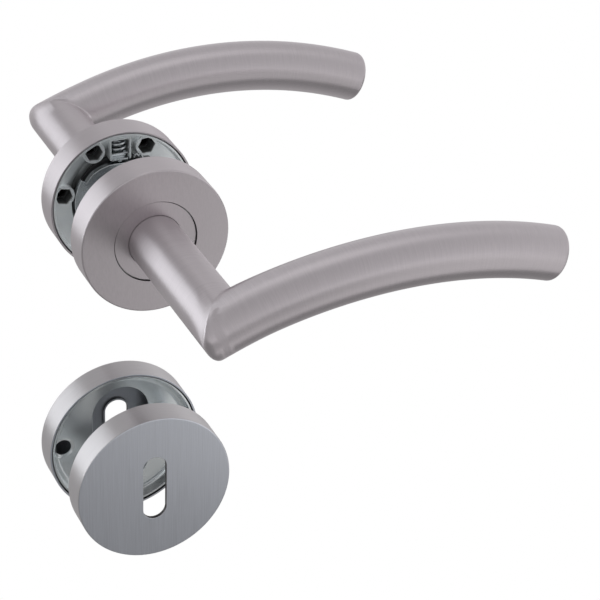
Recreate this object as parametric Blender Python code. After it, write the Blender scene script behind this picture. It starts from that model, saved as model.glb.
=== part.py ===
"""Pair of lever handles on round sprung roses, with a pair of keyhole escutcheons.

Frame: the origin lies on the spindle's axis, half way through the door. +X runs along the
grips, +Y from the front of the door to its back, and +Z up. Lengths are in metres.

Each side of the door is built in its own frame on the spindle's axis. There, a depth is
measured from the door's face outwards: 0 is the rim that rests on the door. The side is -1
for the front, whose depths run along -Y, and +1 for the back, whose depths run along +Y.
"""

import math

import bmesh
import bpy
from mathutils import Vector

MM = 0.001

# Driving dimensions
DOOR_GAP = 21.0 * MM
CLEARANCE = 0.3 * MM
ROSE_RADIUS = 26.5 * MM
ROSE_DEPTH = 11.5 * MM
ESCUTCHEON_RADIUS = 29.1 * MM
ESCUTCHEON_DEPTH = 11.0 * MM
ESCUTCHEON_DROP = 100.5 * MM
COVER_WALL = 0.8 * MM
COVER_EDGE = 0.6 * MM
EDGE_ROUNDNESS = 0.3
TUBE_RADIUS = 9.5 * MM
TUBE_WALL = 1.5 * MM
NECK_LENGTH = 60.4 * MM
GRIP_REACH = 121.2 * MM
GRIP_RISE = 11.3 * MM
GRIP_END_RISE = 2.2 * MM
GRIP_SWAY = 2.1 * MM
GRIP_LEAN = 3.2 * MM
KEYHOLE_WIDTH = 8.9 * MM
KEYHOLE_HEIGHT = 26.3 * MM
SPINDLE_WIDTH = 8.0 * MM

# Neck, collar and grip
NECK_END = ROSE_DEPTH + NECK_LENGTH
NECK_START = 6.0 * MM
TUBE_BORE = TUBE_RADIUS - TUBE_WALL
COLLAR_RADIUS = 14.6 * MM
COLLAR_BORE = TUBE_RADIUS + CLEARANCE
CAP_THICKNESS = 1.5 * MM
CAP_EDGE = 0.9 * MM
MITRE_GAP = CLEARANCE / 2 * math.sqrt(2)
GRIP_CHORD = math.hypot(GRIP_REACH, GRIP_END_RISE)
GRIP_ARC_RADIUS = ((GRIP_CHORD / 2) ** 2 + GRIP_RISE ** 2) / (2 * GRIP_RISE)
GRIP_HALF_ANGLE = math.asin(GRIP_CHORD / 2 / GRIP_ARC_RADIUS)
GRIP_START_ANGLE = GRIP_HALF_ANGLE + math.atan2(GRIP_END_RISE, GRIP_REACH)
GRIP_LENGTH = 2 * GRIP_HALF_ANGLE * GRIP_ARC_RADIUS
GRIP_FIRST_RUN = 14.0 * MM
SWAY_EASE = 0.05

# Mounting base of a rose
BASE_RADIUS = ROSE_RADIUS - COVER_WALL - CLEARANCE
BASE_RIM = 0.6 * MM
BASE_FLOOR = 3.2 * MM
BASE_BACK = ROSE_DEPTH - COVER_WALL - CLEARANCE
BASE_RIM_WALL = 0.8 * MM
BASE_BORE = 13.3 * MM
CHANNEL_RADIUS = 20.3 * MM
CHANNEL_DEPTH = 8.0 * MM
BOSS_PITCH_RADIUS = 21.2 * MM
BOSS_RADIUS = 4.0 * MM
BOSS_TOP = 2.8 * MM
BOSS_ANGLES = [math.radians(angle) for angle in (63, 117, 169, 243, 297, 349)]
HEX_SOCKET_FLATS = 5.6 * MM
HEX_SOCKET_DEPTH = 7.2 * MM
BOLT_HOLE_RADIUS = 2.35 * MM
BOLT_HEAD_SEAT = 8.5 * MM
BOLT_HEAD_BORE = 3.9 * MM
POCKET_HALF_WIDTH = 3.3 * MM
POCKET_WALL = 1.1 * MM
POCKET_BOTTOM = 14.9 * MM
POCKET_TOP = 22.4 * MM
POCKET_DEPTH = 8.6 * MM
BASE_ROOT = 8.4 * MM

# Rotor and what it drives
ROTOR_FACE = 3.0 * MM
ROTOR_BACK = 5.4 * MM
CAM_REST_RADIUS = 13.3 * MM
CAM_RISE_PER_RADIAN = 1.72 * MM
CAM_TOP_RADIUS = 14.6 * MM
LUG_RADIUS = 16.8 * MM
LUG_HALF_ANGLE = 32
LUG_STEP = 8
PLUNGER_NOSE = 13.8 * MM
PLUNGER_SHOULDER = 15.2 * MM
PLUNGER_TOP = 17.2 * MM
PLUNGER_HALF_WIDTH = 3.0 * MM
PLUNGER_NOSE_HALF_WIDTH = 0.7 * MM
PLUNGER_FACE = 3.3 * MM
PLUNGER_BACK = 6.3 * MM
SPRING_WIRE = 0.45 * MM
SPRING_RADIUS = 2.4 * MM
SPRING_DEPTH = 5.5 * MM
SPRING_TURNS = 2
CLIP_WIRE = 0.3 * MM
CLIP_DEPTH = 2.4 * MM
CLIP_FOOT = 7.4 * MM
CLIP_BENDS_MM = ((5.0, 15.2), (5.5, 16.8), (6.4, 15.5), (7.3, 16.5), (8.2, 14.3))
CLIP_BENDS = [(x * MM, z * MM) for x, z in CLIP_BENDS_MM]

# Hub, bush and retaining ring
HUB_RADIUS = TUBE_BORE - CLEARANCE
HUB_END = 46.0 * MM
HUB_SQUARE = 10.4 * MM
HUB_SQUARE_END = 1.4 * MM
HUB_SHOULDER = 5.8 * MM
GROOVE_RADIUS = 6.3 * MM
RING_BORE = GROOVE_RADIUS + CLEARANCE
RING_RADIUS = 9.0 * MM
RING_FACE = 2.1 * MM
RING_BACK = 2.7 * MM
RING_HALF_OPENING = math.radians(25)
GROOVE_FACE = 2.0 * MM
GROOVE_BACK = 2.85 * MM
BUSH_FLANGE_RADIUS = 15.0 * MM
BUSH_FLANGE_FACE = 6.6 * MM
SPINDLE_FRONT_REACH = 50.0 * MM
SPINDLE_BACK_REACH = 58.0 * MM
GRUB_DEPTH = 17.0 * MM
GRUB_RADIUS = 2.5 * MM
GRUB_TIP = SPINDLE_WIDTH / 2 + CLEARANCE
GRUB_CHAMFER = 0.6 * MM
GRUB_KEY_FLATS = 2.5 * MM
GRUB_KEY_DEPTH = 2.7 * MM

# Through bolts and their threaded sleeves
ROSE_BOLT_ANGLES = [math.radians(angle) for angle in (243, 349)]
BOLT_RADIUS = 1.7 * MM
BOLT_HEAD_RADIUS = 3.4 * MM
BOLT_HEAD_THICKNESS = 1.4 * MM
BOLT_SLOT_WIDTH = 1.0 * MM
SLEEVE_BORE = BOLT_RADIUS + CLEARANCE
SLEEVE_RADIUS = 2.45 * MM
SLEEVE_HEX_FLATS = HEX_SOCKET_FLATS - 2 * CLEARANCE

# Escutcheon base
PLATE_RADIUS = ESCUTCHEON_RADIUS - COVER_WALL - CLEARANCE
PLATE_RIM = 0.5 * MM
PLATE_FLOOR = 4.6 * MM
PLATE_THICKNESS = 1.0 * MM
PLATE_WALL_RUN = 1.6 * MM
PLATE_LIP = 0.8 * MM
PLATE_OPENING_WIDTH = 22.0 * MM
PLATE_OPENING_HEIGHT = 43.0 * MM
PLATE_HOLE_OFFSET = 22.5 * MM
PLATE_HOLE_RADIUS = 3.1 * MM
DIMPLE_RADIUS = 4.3 * MM
DIMPLE_EDGE = 0.1 * MM
DIMPLE_DEPTH = 0.6 * MM
SMALL_BOLT_RADIUS = 1.4 * MM
WIDE_HEAD_RADIUS = 4.3 * MM
SMALL_SLEEVE_RADIUS = 2.1 * MM

# How far a cutter runs past a face, and a joined shape into its neighbour
OVERLAP = 1.0 * MM

# Facets
COVER_STEPS = 32
TUBE_STEPS = 20
SMALL_STEPS = 12
GRIP_STEPS = 8
CAM_STEPS = 7
ARC_STEPS = 8
COIL_STEPS = 8
SHARP_ANGLE = math.radians(35)


def clear_scene():
    for item in list(bpy.data.objects):
        bpy.data.objects.remove(item, do_unlink=True)


def metal(name, colour, roughness, metallic=1.0):
    """A material with the part's colour and shine."""
    finish = bpy.data.materials.new(name)
    finish.use_nodes = True
    shader = finish.node_tree.nodes["Principled BSDF"]
    shader.inputs["Base Color"].default_value = (*colour, 1.0)
    shader.inputs["Roughness"].default_value = roughness
    shader.inputs["Metallic"].default_value = metallic
    return finish


def empty(name, location):
    marker = bpy.data.objects.new(name, None)
    marker.empty_display_size = 10 * MM
    marker.location = location
    bpy.context.scene.collection.objects.link(marker)
    return marker


def solid(name, shape, finish, parent, location=(0, 0, 0)):
    """Turn a bmesh into a smooth-shaded object with sharp edges where faces meet steeply."""
    bmesh.ops.recalc_face_normals(shape, faces=shape.faces)
    mesh = bpy.data.meshes.new(name)
    shape.to_mesh(mesh)
    shape.free()
    mesh.shade_smooth()
    mesh.set_sharp_from_angle(angle=SHARP_ANGLE)
    mesh.materials.append(finish)
    item = bpy.data.objects.new(name, mesh)
    item.location = location
    item.parent = parent
    bpy.context.scene.collection.objects.link(item)
    return item


def tool(name, shape, parent, location=(0, 0, 0)):
    """A cutter, or a shape to be joined on, which is not a piece itself."""
    item = solid(name, shape, bpy.data.materials["tool"], parent, location)
    item.hide_render = True
    item.display_type = "WIRE"
    return item


def combine(item, operation, other):
    step = item.modifiers.new(other.name, "BOOLEAN")
    step.operation = operation
    step.object = other


def add_ring(shape, radius, depth, side, steps, centre=(0, 0)):
    """A ring of vertices about an axis along Y."""
    ring = []
    for step in range(steps):
        angle = 2 * math.pi * step / steps
        x = centre[0] + radius * math.cos(angle)
        z = centre[1] + radius * math.sin(angle)
        ring.append(shape.verts.new((x, side * depth, z)))
    return ring


def bridge(shape, first, second):
    for step, corner in enumerate(first):
        after = (step + 1) % len(first)
        shape.faces.new((corner, first[after], second[after], second[step]))


def add_tube(shape, profile, side, steps):
    """Turn a closed outline of (radius, depth) points about the Y axis."""
    rings = [add_ring(shape, radius, depth, side, steps) for radius, depth in profile]
    for index, ring in enumerate(rings):
        bridge(shape, ring, rings[(index + 1) % len(rings)])


def add_rod(shape, profile, side, steps, centre=(0, 0)):
    """Turn an open outline of (radius, depth) points and close both of its ends."""
    rings = [add_ring(shape, radius, depth, side, steps, centre) for radius, depth in profile]
    for first, second in zip(rings, rings[1:]):
        bridge(shape, first, second)
    shape.faces.new(rings[0])
    shape.faces.new(rings[-1])


def add_prism(shape, outline, start, end, side):
    """Extrude a closed outline of (x, z) points between two depths."""
    near = [shape.verts.new((x, side * start, z)) for x, z in outline]
    far = [shape.verts.new((x, side * end, z)) for x, z in outline]
    bridge(shape, near, far)
    shape.faces.new(near)
    shape.faces.new(far)


def rectangle(low_x, high_x, low_z, high_z):
    return [(low_x, low_z), (high_x, low_z), (high_x, high_z), (low_x, high_z)]


def square(width):
    return rectangle(-width / 2, width / 2, -width / 2, width / 2)


def hexagon(flats, centre=(0, 0), turn=0.0):
    corner = flats / math.sqrt(3)
    points = []
    for step in range(6):
        angle = turn + step * math.pi / 3
        points.append((centre[0] + corner * math.cos(angle), centre[1] + corner * math.sin(angle)))
    return points


def obround(width, height, steps):
    """An upright slot with round ends."""
    radius = width / 2
    rise = height / 2 - radius
    points = []
    for start, middle in ((0, rise), (math.pi, -rise)):
        for step in range(steps + 1):
            angle = start + math.pi * step / steps
            points.append((radius * math.cos(angle), middle + radius * math.sin(angle)))
    return points


def polar(radius, angle):
    return (radius * math.cos(angle), radius * math.sin(angle))


def cup_outside(radius, depth):
    """Outside of a pressed cover from its rim to the edge of its face."""
    bend = COVER_EDGE * EDGE_ROUNDNESS
    return [
        (radius, 0),
        (radius, depth - COVER_EDGE),
        (radius - bend, depth - bend),
        (radius - COVER_EDGE, depth),
    ]


def make_rose_cover(prefix, side, parent):
    hole = COLLAR_RADIUS + CLEARANCE
    inner_face = ROSE_DEPTH - COVER_WALL
    profile = cup_outside(ROSE_RADIUS, ROSE_DEPTH)
    profile += [(hole, ROSE_DEPTH), (hole, inner_face)]
    profile += [(ROSE_RADIUS - COVER_WALL, inner_face), (ROSE_RADIUS - COVER_WALL, 0)]
    shape = bmesh.new()
    add_tube(shape, profile, side, COVER_STEPS)
    solid(prefix + "_rose_cover", shape, bpy.data.materials["satin_steel"], parent)


def make_base(prefix, side, parent):
    """Die casting under a rose cover: rim, rotor channel, six hex bosses, two spring pockets."""
    shape = bmesh.new()
    profile = [
        (BASE_RADIUS, BASE_RIM),
        (BASE_RADIUS, BASE_BACK),
        (BASE_BORE, BASE_BACK),
        (BASE_BORE, BASE_FLOOR),
        (BASE_RADIUS - BASE_RIM_WALL, BASE_FLOOR),
        (BASE_RADIUS - BASE_RIM_WALL, BASE_RIM),
    ]
    add_tube(shape, profile, side, COVER_STEPS)
    base = solid(prefix + "_mounting_base", shape, bpy.data.materials["zinc"], parent)

    shape = bmesh.new()
    inner = BASE_BORE - CLEARANCE
    profile = [(inner, 0), (CHANNEL_RADIUS, 0), (CHANNEL_RADIUS, CHANNEL_DEPTH), (inner, CHANNEL_DEPTH)]
    add_tube(shape, profile, side, COVER_STEPS)
    combine(base, "DIFFERENCE", tool(prefix + "_channel_tool", shape, parent))

    shape = bmesh.new()
    for angle in BOSS_ANGLES:
        centre = polar(BOSS_PITCH_RADIUS, angle)
        add_rod(shape, [(BOSS_RADIUS, BOSS_TOP), (BOSS_RADIUS, BASE_ROOT)], side, SMALL_STEPS, centre)
    half = POCKET_HALF_WIDTH + POCKET_WALL
    end = POCKET_TOP + POCKET_WALL
    for low, high in ((POCKET_BOTTOM, end), (-end, -POCKET_BOTTOM)):
        add_prism(shape, rectangle(-half, half, low, high), BOSS_TOP, BASE_ROOT, side)
    combine(base, "UNION", tool(prefix + "_boss_tool", shape, parent))

    shape = bmesh.new()
    for angle in BOSS_ANGLES:
        centre = polar(BOSS_PITCH_RADIUS, angle)
        add_prism(shape, hexagon(HEX_SOCKET_FLATS, centre, angle), 0, HEX_SOCKET_DEPTH, side)
    half = POCKET_HALF_WIDTH
    for low, high in ((BASE_BORE, POCKET_TOP), (-POCKET_TOP, -BASE_BORE)):
        add_prism(shape, rectangle(-half, half, low, high), 0, POCKET_DEPTH, side)
    combine(base, "DIFFERENCE", tool(prefix + "_socket_tool", shape, parent))

    shape = bmesh.new()
    profile = [
        (BOLT_HOLE_RADIUS, 0),
        (BOLT_HOLE_RADIUS, BOLT_HEAD_SEAT),
        (BOLT_HEAD_BORE, BOLT_HEAD_SEAT),
        (BOLT_HEAD_BORE, ROSE_DEPTH),
    ]
    for angle in BOSS_ANGLES:
        add_rod(shape, profile, side, SMALL_STEPS, polar(BOSS_PITCH_RADIUS, angle))
    combine(base, "DIFFERENCE", tool(prefix + "_bolt_hole_tool", shape, parent))


def make_bush(prefix, side, parent):
    """Nylon bush in the base's bore, with its flange on the rotor's side."""
    bore = TUBE_RADIUS + CLEARANCE
    body = BASE_BORE - CLEARANCE
    step = CHANNEL_DEPTH - CLEARANCE
    shape = bmesh.new()
    profile = [
        (bore, BUSH_FLANGE_FACE),
        (BUSH_FLANGE_RADIUS, BUSH_FLANGE_FACE),
        (BUSH_FLANGE_RADIUS, step),
        (body, step),
        (body, BASE_BACK),
        (bore, BASE_BACK),
    ]
    add_tube(shape, profile, side, COVER_STEPS)
    solid(prefix + "_bearing_bush", shape, bpy.data.materials["nylon"], parent)


def make_collar(prefix, side, parent):
    """Flat ring around the neck, flush with the rose's face."""
    shape = bmesh.new()
    face = ROSE_DEPTH - COVER_WALL
    profile = [
        (COLLAR_BORE, face),
        (COLLAR_RADIUS, face),
        (COLLAR_RADIUS, ROSE_DEPTH),
        (COLLAR_BORE, ROSE_DEPTH),
    ]
    add_tube(shape, profile, side, COVER_STEPS)
    solid(prefix + "_collar_ring", shape, bpy.data.materials["satin_steel"], parent)


def make_neck(prefix, side, parent, grub_tool):
    """Straight tube from the rose to the mitre, which leans towards the grip."""
    shape = bmesh.new()
    ends = []
    for radius in (TUBE_RADIUS, TUBE_BORE):
        start = add_ring(shape, radius, NECK_START, side, TUBE_STEPS)
        mitre = []
        for step in range(TUBE_STEPS):
            angle = 2 * math.pi * step / TUBE_STEPS
            depth = NECK_END - MITRE_GAP - radius * math.cos(angle - GRIP_START_ANGLE)
            x, z = polar(radius, angle)
            mitre.append(shape.verts.new((x, side * depth, z)))
        bridge(shape, start, mitre)
        ends.append((start, mitre))
    bridge(shape, ends[0][0], ends[1][0])
    bridge(shape, ends[0][1], ends[1][1])
    neck = solid(prefix + "_neck_tube", shape, bpy.data.materials["satin_steel"], parent)
    combine(neck, "DIFFERENCE", grub_tool)


def arc_normal(run):
    """Upward normal of the grip's arc at a length along it."""
    angle = GRIP_START_ANGLE - run / GRIP_ARC_RADIUS
    return Vector((-math.sin(angle), 0, math.cos(angle)))


def grip_sway(run):
    """How far the grip has swayed away from the door: out a little, then in at its end."""
    share = max(run - TUBE_RADIUS, 0) / (GRIP_LENGTH - TUBE_RADIUS)
    sway = 4 * GRIP_SWAY * share * (1 - share) - GRIP_LEAN * share
    return sway * share / (share + SWAY_EASE)


def grip_centre(side, run):
    centre = GRIP_ARC_RADIUS * (arc_normal(run) - arc_normal(0))
    return centre + Vector((0, side * (NECK_END + grip_sway(run)), 0))


def add_grip_ring(shape, side, radius, run, mitred=False):
    """A ring around the grip, square to it or cut along the mitre."""
    outward = Vector((0, side, 0))
    ring = []
    for step in range(TUBE_STEPS):
        angle = 2 * math.pi * step / TUBE_STEPS
        lead = -radius * math.cos(angle) if mitred else 0
        offset = outward * math.cos(angle) + arc_normal(run + lead) * math.sin(angle)
        ring.append(shape.verts.new(grip_centre(side, run + lead) + radius * offset))
    return ring


def make_grip(prefix, side, parent):
    """Bowed tube from the mitre to the end cap."""
    shape = bmesh.new()
    last_run = GRIP_LENGTH - CAP_THICKNESS - CLEARANCE
    walls = []
    for radius in (TUBE_RADIUS, TUBE_BORE):
        rings = [add_grip_ring(shape, side, radius, MITRE_GAP, mitred=True)]
        for step in range(GRIP_STEPS + 1):
            run = GRIP_FIRST_RUN + (last_run - GRIP_FIRST_RUN) * step / GRIP_STEPS
            rings.append(add_grip_ring(shape, side, radius, run))
        for first, second in zip(rings, rings[1:]):
            bridge(shape, first, second)
        walls.append(rings)
    bridge(shape, walls[0][0], walls[1][0])
    bridge(shape, walls[0][-1], walls[1][-1])
    solid(prefix + "_grip_tube", shape, bpy.data.materials["satin_steel"], parent)

    bend = CAP_EDGE * EDGE_ROUNDNESS
    shape = bmesh.new()
    rings = [
        add_grip_ring(shape, side, TUBE_RADIUS, GRIP_LENGTH - CAP_THICKNESS),
        add_grip_ring(shape, side, TUBE_RADIUS, GRIP_LENGTH - CAP_EDGE),
        add_grip_ring(shape, side, TUBE_RADIUS - bend, GRIP_LENGTH - bend),
        add_grip_ring(shape, side, TUBE_RADIUS - CAP_EDGE, GRIP_LENGTH),
    ]
    for first, second in zip(rings, rings[1:]):
        bridge(shape, first, second)
    shape.faces.new(rings[0])
    shape.faces.new(rings[-1])
    solid(prefix + "_grip_end_cap", shape, bpy.data.materials["satin_steel"], parent)


def make_grub(prefix, side, parent):
    """Screw under the neck that clamps the hub to the spindle; its hole's tool is returned."""
    place = (0, side * GRUB_DEPTH, 0)
    head = TUBE_RADIUS - CLEARANCE
    shape = bmesh.new()
    profile = [
        (GRUB_RADIUS - GRUB_CHAMFER, GRUB_TIP),
        (GRUB_RADIUS, GRUB_TIP + GRUB_CHAMFER),
        (GRUB_RADIUS, head),
    ]
    add_rod(shape, profile, 1, SMALL_STEPS)
    grub = solid(prefix + "_grub_screw", shape, bpy.data.materials["dark_steel"], parent, place)
    shape = bmesh.new()
    add_prism(shape, hexagon(GRUB_KEY_FLATS), head - GRUB_KEY_DEPTH, head + OVERLAP, 1)
    key = tool(prefix + "_grub_key_tool", shape, parent, place)
    combine(grub, "DIFFERENCE", key)
    bore = GRUB_RADIUS + CLEARANCE
    shape = bmesh.new()
    add_rod(shape, [(bore, GRUB_TIP), (bore, TUBE_RADIUS + OVERLAP)], 1, SMALL_STEPS)
    hole = tool(prefix + "_grub_hole_tool", shape, parent, place)
    for item in (grub, key, hole):
        item.rotation_euler = (-math.pi / 2, 0, 0)
    return hole


def make_hub(prefix, side, parent, grub_tool):
    """Steel core of the neck: a square end for the rotor and a square hole for the spindle."""
    shape = bmesh.new()
    add_rod(shape, [(HUB_RADIUS, HUB_SHOULDER), (HUB_RADIUS, HUB_END)], side, TUBE_STEPS)
    hub = solid(prefix + "_spindle_hub", shape, bpy.data.materials["dark_steel"], parent)
    shape = bmesh.new()
    add_prism(shape, square(HUB_SQUARE), HUB_SQUARE_END, HUB_SHOULDER + OVERLAP, side)
    combine(hub, "UNION", tool(prefix + "_hub_square_tool", shape, parent))
    shape = bmesh.new()
    profile = [
        (GROOVE_RADIUS, GROOVE_FACE),
        (RING_RADIUS, GROOVE_FACE),
        (RING_RADIUS, GROOVE_BACK),
        (GROOVE_RADIUS, GROOVE_BACK),
    ]
    add_tube(shape, profile, side, TUBE_STEPS)
    combine(hub, "DIFFERENCE", tool(prefix + "_hub_groove_tool", shape, parent))
    shape = bmesh.new()
    add_prism(shape, square(SPINDLE_WIDTH + 2 * CLEARANCE), 0, HUB_END + OVERLAP, side)
    combine(hub, "DIFFERENCE", tool(prefix + "_hub_bore_tool", shape, parent))
    combine(hub, "DIFFERENCE", grub_tool)


def rotor_outline():
    """Cam notches at the top and bottom, each rising steadily both ways, and a lug on each side."""
    points = []
    edge = 90 - LUG_HALF_ANGLE
    for centre in (90, 270):
        for step in range(-CAM_STEPS, CAM_STEPS + 1):
            offset = edge * step / CAM_STEPS
            rise = CAM_RISE_PER_RADIAN * math.radians(abs(offset))
            radius = min(CAM_REST_RADIUS + rise, CAM_TOP_RADIUS)
            points.append(polar(radius, math.radians(centre + offset)))
        for offset in range(-LUG_HALF_ANGLE, LUG_HALF_ANGLE + LUG_STEP, LUG_STEP):
            points.append(polar(LUG_RADIUS, math.radians(centre + 90 + offset)))
    return points


def make_rotor(prefix, side, parent):
    """Cam disc that turns with the lever, and the ring that keeps it on the hub."""
    shape = bmesh.new()
    add_prism(shape, rotor_outline(), ROTOR_FACE, ROTOR_BACK, side)
    rotor = solid(prefix + "_rotor", shape, bpy.data.materials["zinc"], parent)
    shape = bmesh.new()
    add_prism(shape, square(HUB_SQUARE + 2 * CLEARANCE), 0, ROTOR_BACK + OVERLAP, side)
    combine(rotor, "DIFFERENCE", tool(prefix + "_rotor_bore_tool", shape, parent))

    outline = []
    steps = TUBE_STEPS
    start = math.pi / 2 + RING_HALF_OPENING
    turn = 2 * (math.pi - RING_HALF_OPENING)
    for radius, order in ((RING_RADIUS, range(steps + 1)), (RING_BORE, range(steps, -1, -1))):
        for step in order:
            outline.append(polar(radius, start + turn * step / steps))
    shape = bmesh.new()
    add_prism(shape, outline, RING_FACE, RING_BACK, side)
    solid(prefix + "_retaining_ring", shape, bpy.data.materials["dark_steel"], parent)


def make_plunger(prefix, side, parent, up):
    """Sliding block whose nose rides on the rotor's cam, and the spring that pushes it in."""
    label = prefix + ("_upper" if up > 0 else "_lower")
    half = PLUNGER_HALF_WIDTH
    nose = PLUNGER_NOSE_HALF_WIDTH
    outline = [
        (-nose, 0),
        (nose, 0),
        (nose, PLUNGER_SHOULDER - PLUNGER_NOSE),
        (half, PLUNGER_SHOULDER - PLUNGER_NOSE),
        (half, PLUNGER_TOP - PLUNGER_NOSE),
        (-half, PLUNGER_TOP - PLUNGER_NOSE),
        (-half, PLUNGER_SHOULDER - PLUNGER_NOSE),
        (-nose, PLUNGER_SHOULDER - PLUNGER_NOSE),
    ]
    shape = bmesh.new()
    add_prism(shape, [(x, up * z) for x, z in outline], PLUNGER_FACE, PLUNGER_BACK, side)
    solid(label + "_plunger", shape, bpy.data.materials["bright_steel"], parent, (0, 0, up * PLUNGER_NOSE))

    bottom = PLUNGER_TOP + CLEARANCE + SPRING_WIRE
    height = POCKET_TOP - CLEARANCE - SPRING_WIRE - bottom
    steps = COIL_STEPS * SPRING_TURNS
    points = []
    for step in range(steps + 1):
        angle = 2 * math.pi * step / COIL_STEPS
        x, y = polar(SPRING_RADIUS, angle)
        points.append((x, y, up * height * step / steps))
    place = (0, side * SPRING_DEPTH, up * bottom)
    make_wire(label + "_spring", points, SPRING_WIRE, 1, parent, place)


def make_wire(name, points, radius, roundness, parent, location=(0, 0, 0)):
    """A round wire through the given points, with closed ends."""
    path = bpy.data.curves.new(name, "CURVE")
    path.dimensions = "3D"
    path.bevel_depth = radius
    path.bevel_resolution = roundness
    path.use_fill_caps = True
    spline = path.splines.new("POLY")
    spline.points.add(len(points) - 1)
    for target, point in zip(spline.points, points):
        target.co = (*point, 1)
    path.materials.append(bpy.data.materials["bright_steel"])
    item = bpy.data.objects.new(name, path)
    item.location = location
    item.parent = parent
    bpy.context.scene.collection.objects.link(item)


def make_clip(prefix, side, parent):
    """Small bent wire beside the upper pocket, with a leg into the channel at each end."""
    first = CLIP_BENDS[0]
    last = CLIP_BENDS[-1]
    points = [(first[0], side * CLIP_FOOT, first[1])]
    points += [(x, side * CLIP_DEPTH, z) for x, z in CLIP_BENDS]
    points.append((last[0], side * CLIP_FOOT, last[1]))
    make_wire(prefix + "_wire_clip", points, CLIP_WIRE, 1, parent)


def make_spindle(parent):
    shape = bmesh.new()
    add_prism(shape, square(SPINDLE_WIDTH), -SPINDLE_FRONT_REACH, SPINDLE_BACK_REACH, 1)
    solid("spindle", shape, bpy.data.materials["dark_steel"], parent)


def make_rose_fixing(number, angle, parent):
    """Bolt from under the front cover, and the hex-headed sleeve that it screws into."""
    x, z = polar(BOSS_PITCH_RADIUS, angle)
    place = (x, 0, z)
    face = DOOR_GAP / 2
    seat = -face - BOLT_HEAD_SEAT - CLEARANCE
    end = face + BASE_BACK - 2 * CLEARANCE
    make_bolt(f"rose_bolt_{number}", seat, end, BOLT_RADIUS, BOLT_HEAD_RADIUS, parent, place)

    socket_end = face + HEX_SOCKET_DEPTH - CLEARANCE
    start = -face - BOSS_TOP + 2 * CLEARANCE
    shape = bmesh.new()
    hex_start = face + BASE_FLOOR
    add_prism(shape, hexagon(SLEEVE_HEX_FLATS, (0, 0), angle), hex_start, socket_end, 1)
    sleeve = solid(f"rose_sleeve_{number}", shape, bpy.data.materials["bright_steel"], parent, place)
    shape = bmesh.new()
    add_rod(shape, [(SLEEVE_RADIUS, start), (SLEEVE_RADIUS, hex_start + OVERLAP)], 1, SMALL_STEPS)
    combine(sleeve, "UNION", tool(f"sleeve_body_tool_{number}", shape, parent, place))
    shape = bmesh.new()
    add_rod(shape, [(SLEEVE_BORE, start - OVERLAP), (SLEEVE_BORE, socket_end + OVERLAP)], 1, SMALL_STEPS)
    combine(sleeve, "DIFFERENCE", tool(f"sleeve_bore_tool_{number}", shape, parent, place))


def make_bolt(name, seat, end, radius, head_radius, parent, place):
    """Cheese-headed bolt along +Y whose head bears at the seat."""
    shape = bmesh.new()
    top = seat - BOLT_HEAD_THICKNESS
    profile = [(head_radius, top), (head_radius, seat), (radius, seat), (radius, end)]
    add_rod(shape, profile, 1, SMALL_STEPS)
    bolt = solid(name, shape, bpy.data.materials["bright_steel"], parent, place)
    shape = bmesh.new()
    long = head_radius + OVERLAP
    wide = BOLT_SLOT_WIDTH / 2
    floor = top + BOLT_HEAD_THICKNESS / 2
    add_prism(shape, rectangle(-long, long, -wide, wide), top - OVERLAP, floor, 1)
    combine(bolt, "DIFFERENCE", tool(name + "_slot_tool", shape, parent, place))


def make_escutcheon_cover(prefix, side, parent):
    """Pressed cup whose face has the upright keyhole slot."""
    shape = bmesh.new()
    radius = ESCUTCHEON_RADIUS
    depth = ESCUTCHEON_DEPTH
    wall = COVER_WALL
    outer = [add_ring(shape, r, d, side, COVER_STEPS) for r, d in cup_outside(radius, depth)]
    inner = [add_ring(shape, radius - wall, d, side, COVER_STEPS) for d in (0, depth - wall)]
    for first, second in zip(outer, outer[1:]):
        bridge(shape, first, second)
    bridge(shape, inner[0], inner[1])
    bridge(shape, outer[0], inner[0])
    shape.faces.new(outer[-1])
    shape.faces.new(inner[-1])
    cover = solid(prefix + "_escutcheon_cover", shape, bpy.data.materials["cool_steel"], parent)
    shape = bmesh.new()
    outline = obround(KEYHOLE_WIDTH, KEYHOLE_HEIGHT, ARC_STEPS)
    add_prism(shape, outline, depth - 2 * wall, depth + wall, side)
    combine(cover, "DIFFERENCE", tool(prefix + "_keyhole_tool", shape, parent))


def make_escutcheon_base(prefix, side, parent):
    """Pressed dish with a large slot in its floor and a screw hole on each side of it."""
    floor = PLATE_FLOOR
    back = floor + PLATE_THICKNESS
    foot = PLATE_RADIUS - PLATE_WALL_RUN
    hole = PLATE_OPENING_WIDTH / 4
    shape = bmesh.new()
    profile = [
        (PLATE_RADIUS - PLATE_LIP, PLATE_RIM),
        (PLATE_RADIUS, PLATE_RIM),
        (foot, back),
        (hole, back),
        (hole, floor),
        (foot - PLATE_LIP, floor),
    ]
    add_tube(shape, profile, side, COVER_STEPS)
    plate = solid(prefix + "_escutcheon_base", shape, bpy.data.materials["zinc"], parent)
    shape = bmesh.new()
    outline = obround(PLATE_OPENING_WIDTH, PLATE_OPENING_HEIGHT, ARC_STEPS)
    add_prism(shape, outline, floor - OVERLAP, back + OVERLAP, side)
    profile = [
        (DIMPLE_RADIUS, floor - OVERLAP),
        (DIMPLE_RADIUS, floor + DIMPLE_EDGE),
        (PLATE_HOLE_RADIUS, floor + DIMPLE_DEPTH),
        (PLATE_HOLE_RADIUS, back + OVERLAP),
    ]
    for offset in (-PLATE_HOLE_OFFSET, PLATE_HOLE_OFFSET):
        add_rod(shape, profile, side, SMALL_STEPS, (offset, 0))
    combine(plate, "DIFFERENCE", tool(prefix + "_plate_tool", shape, parent))


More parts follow.
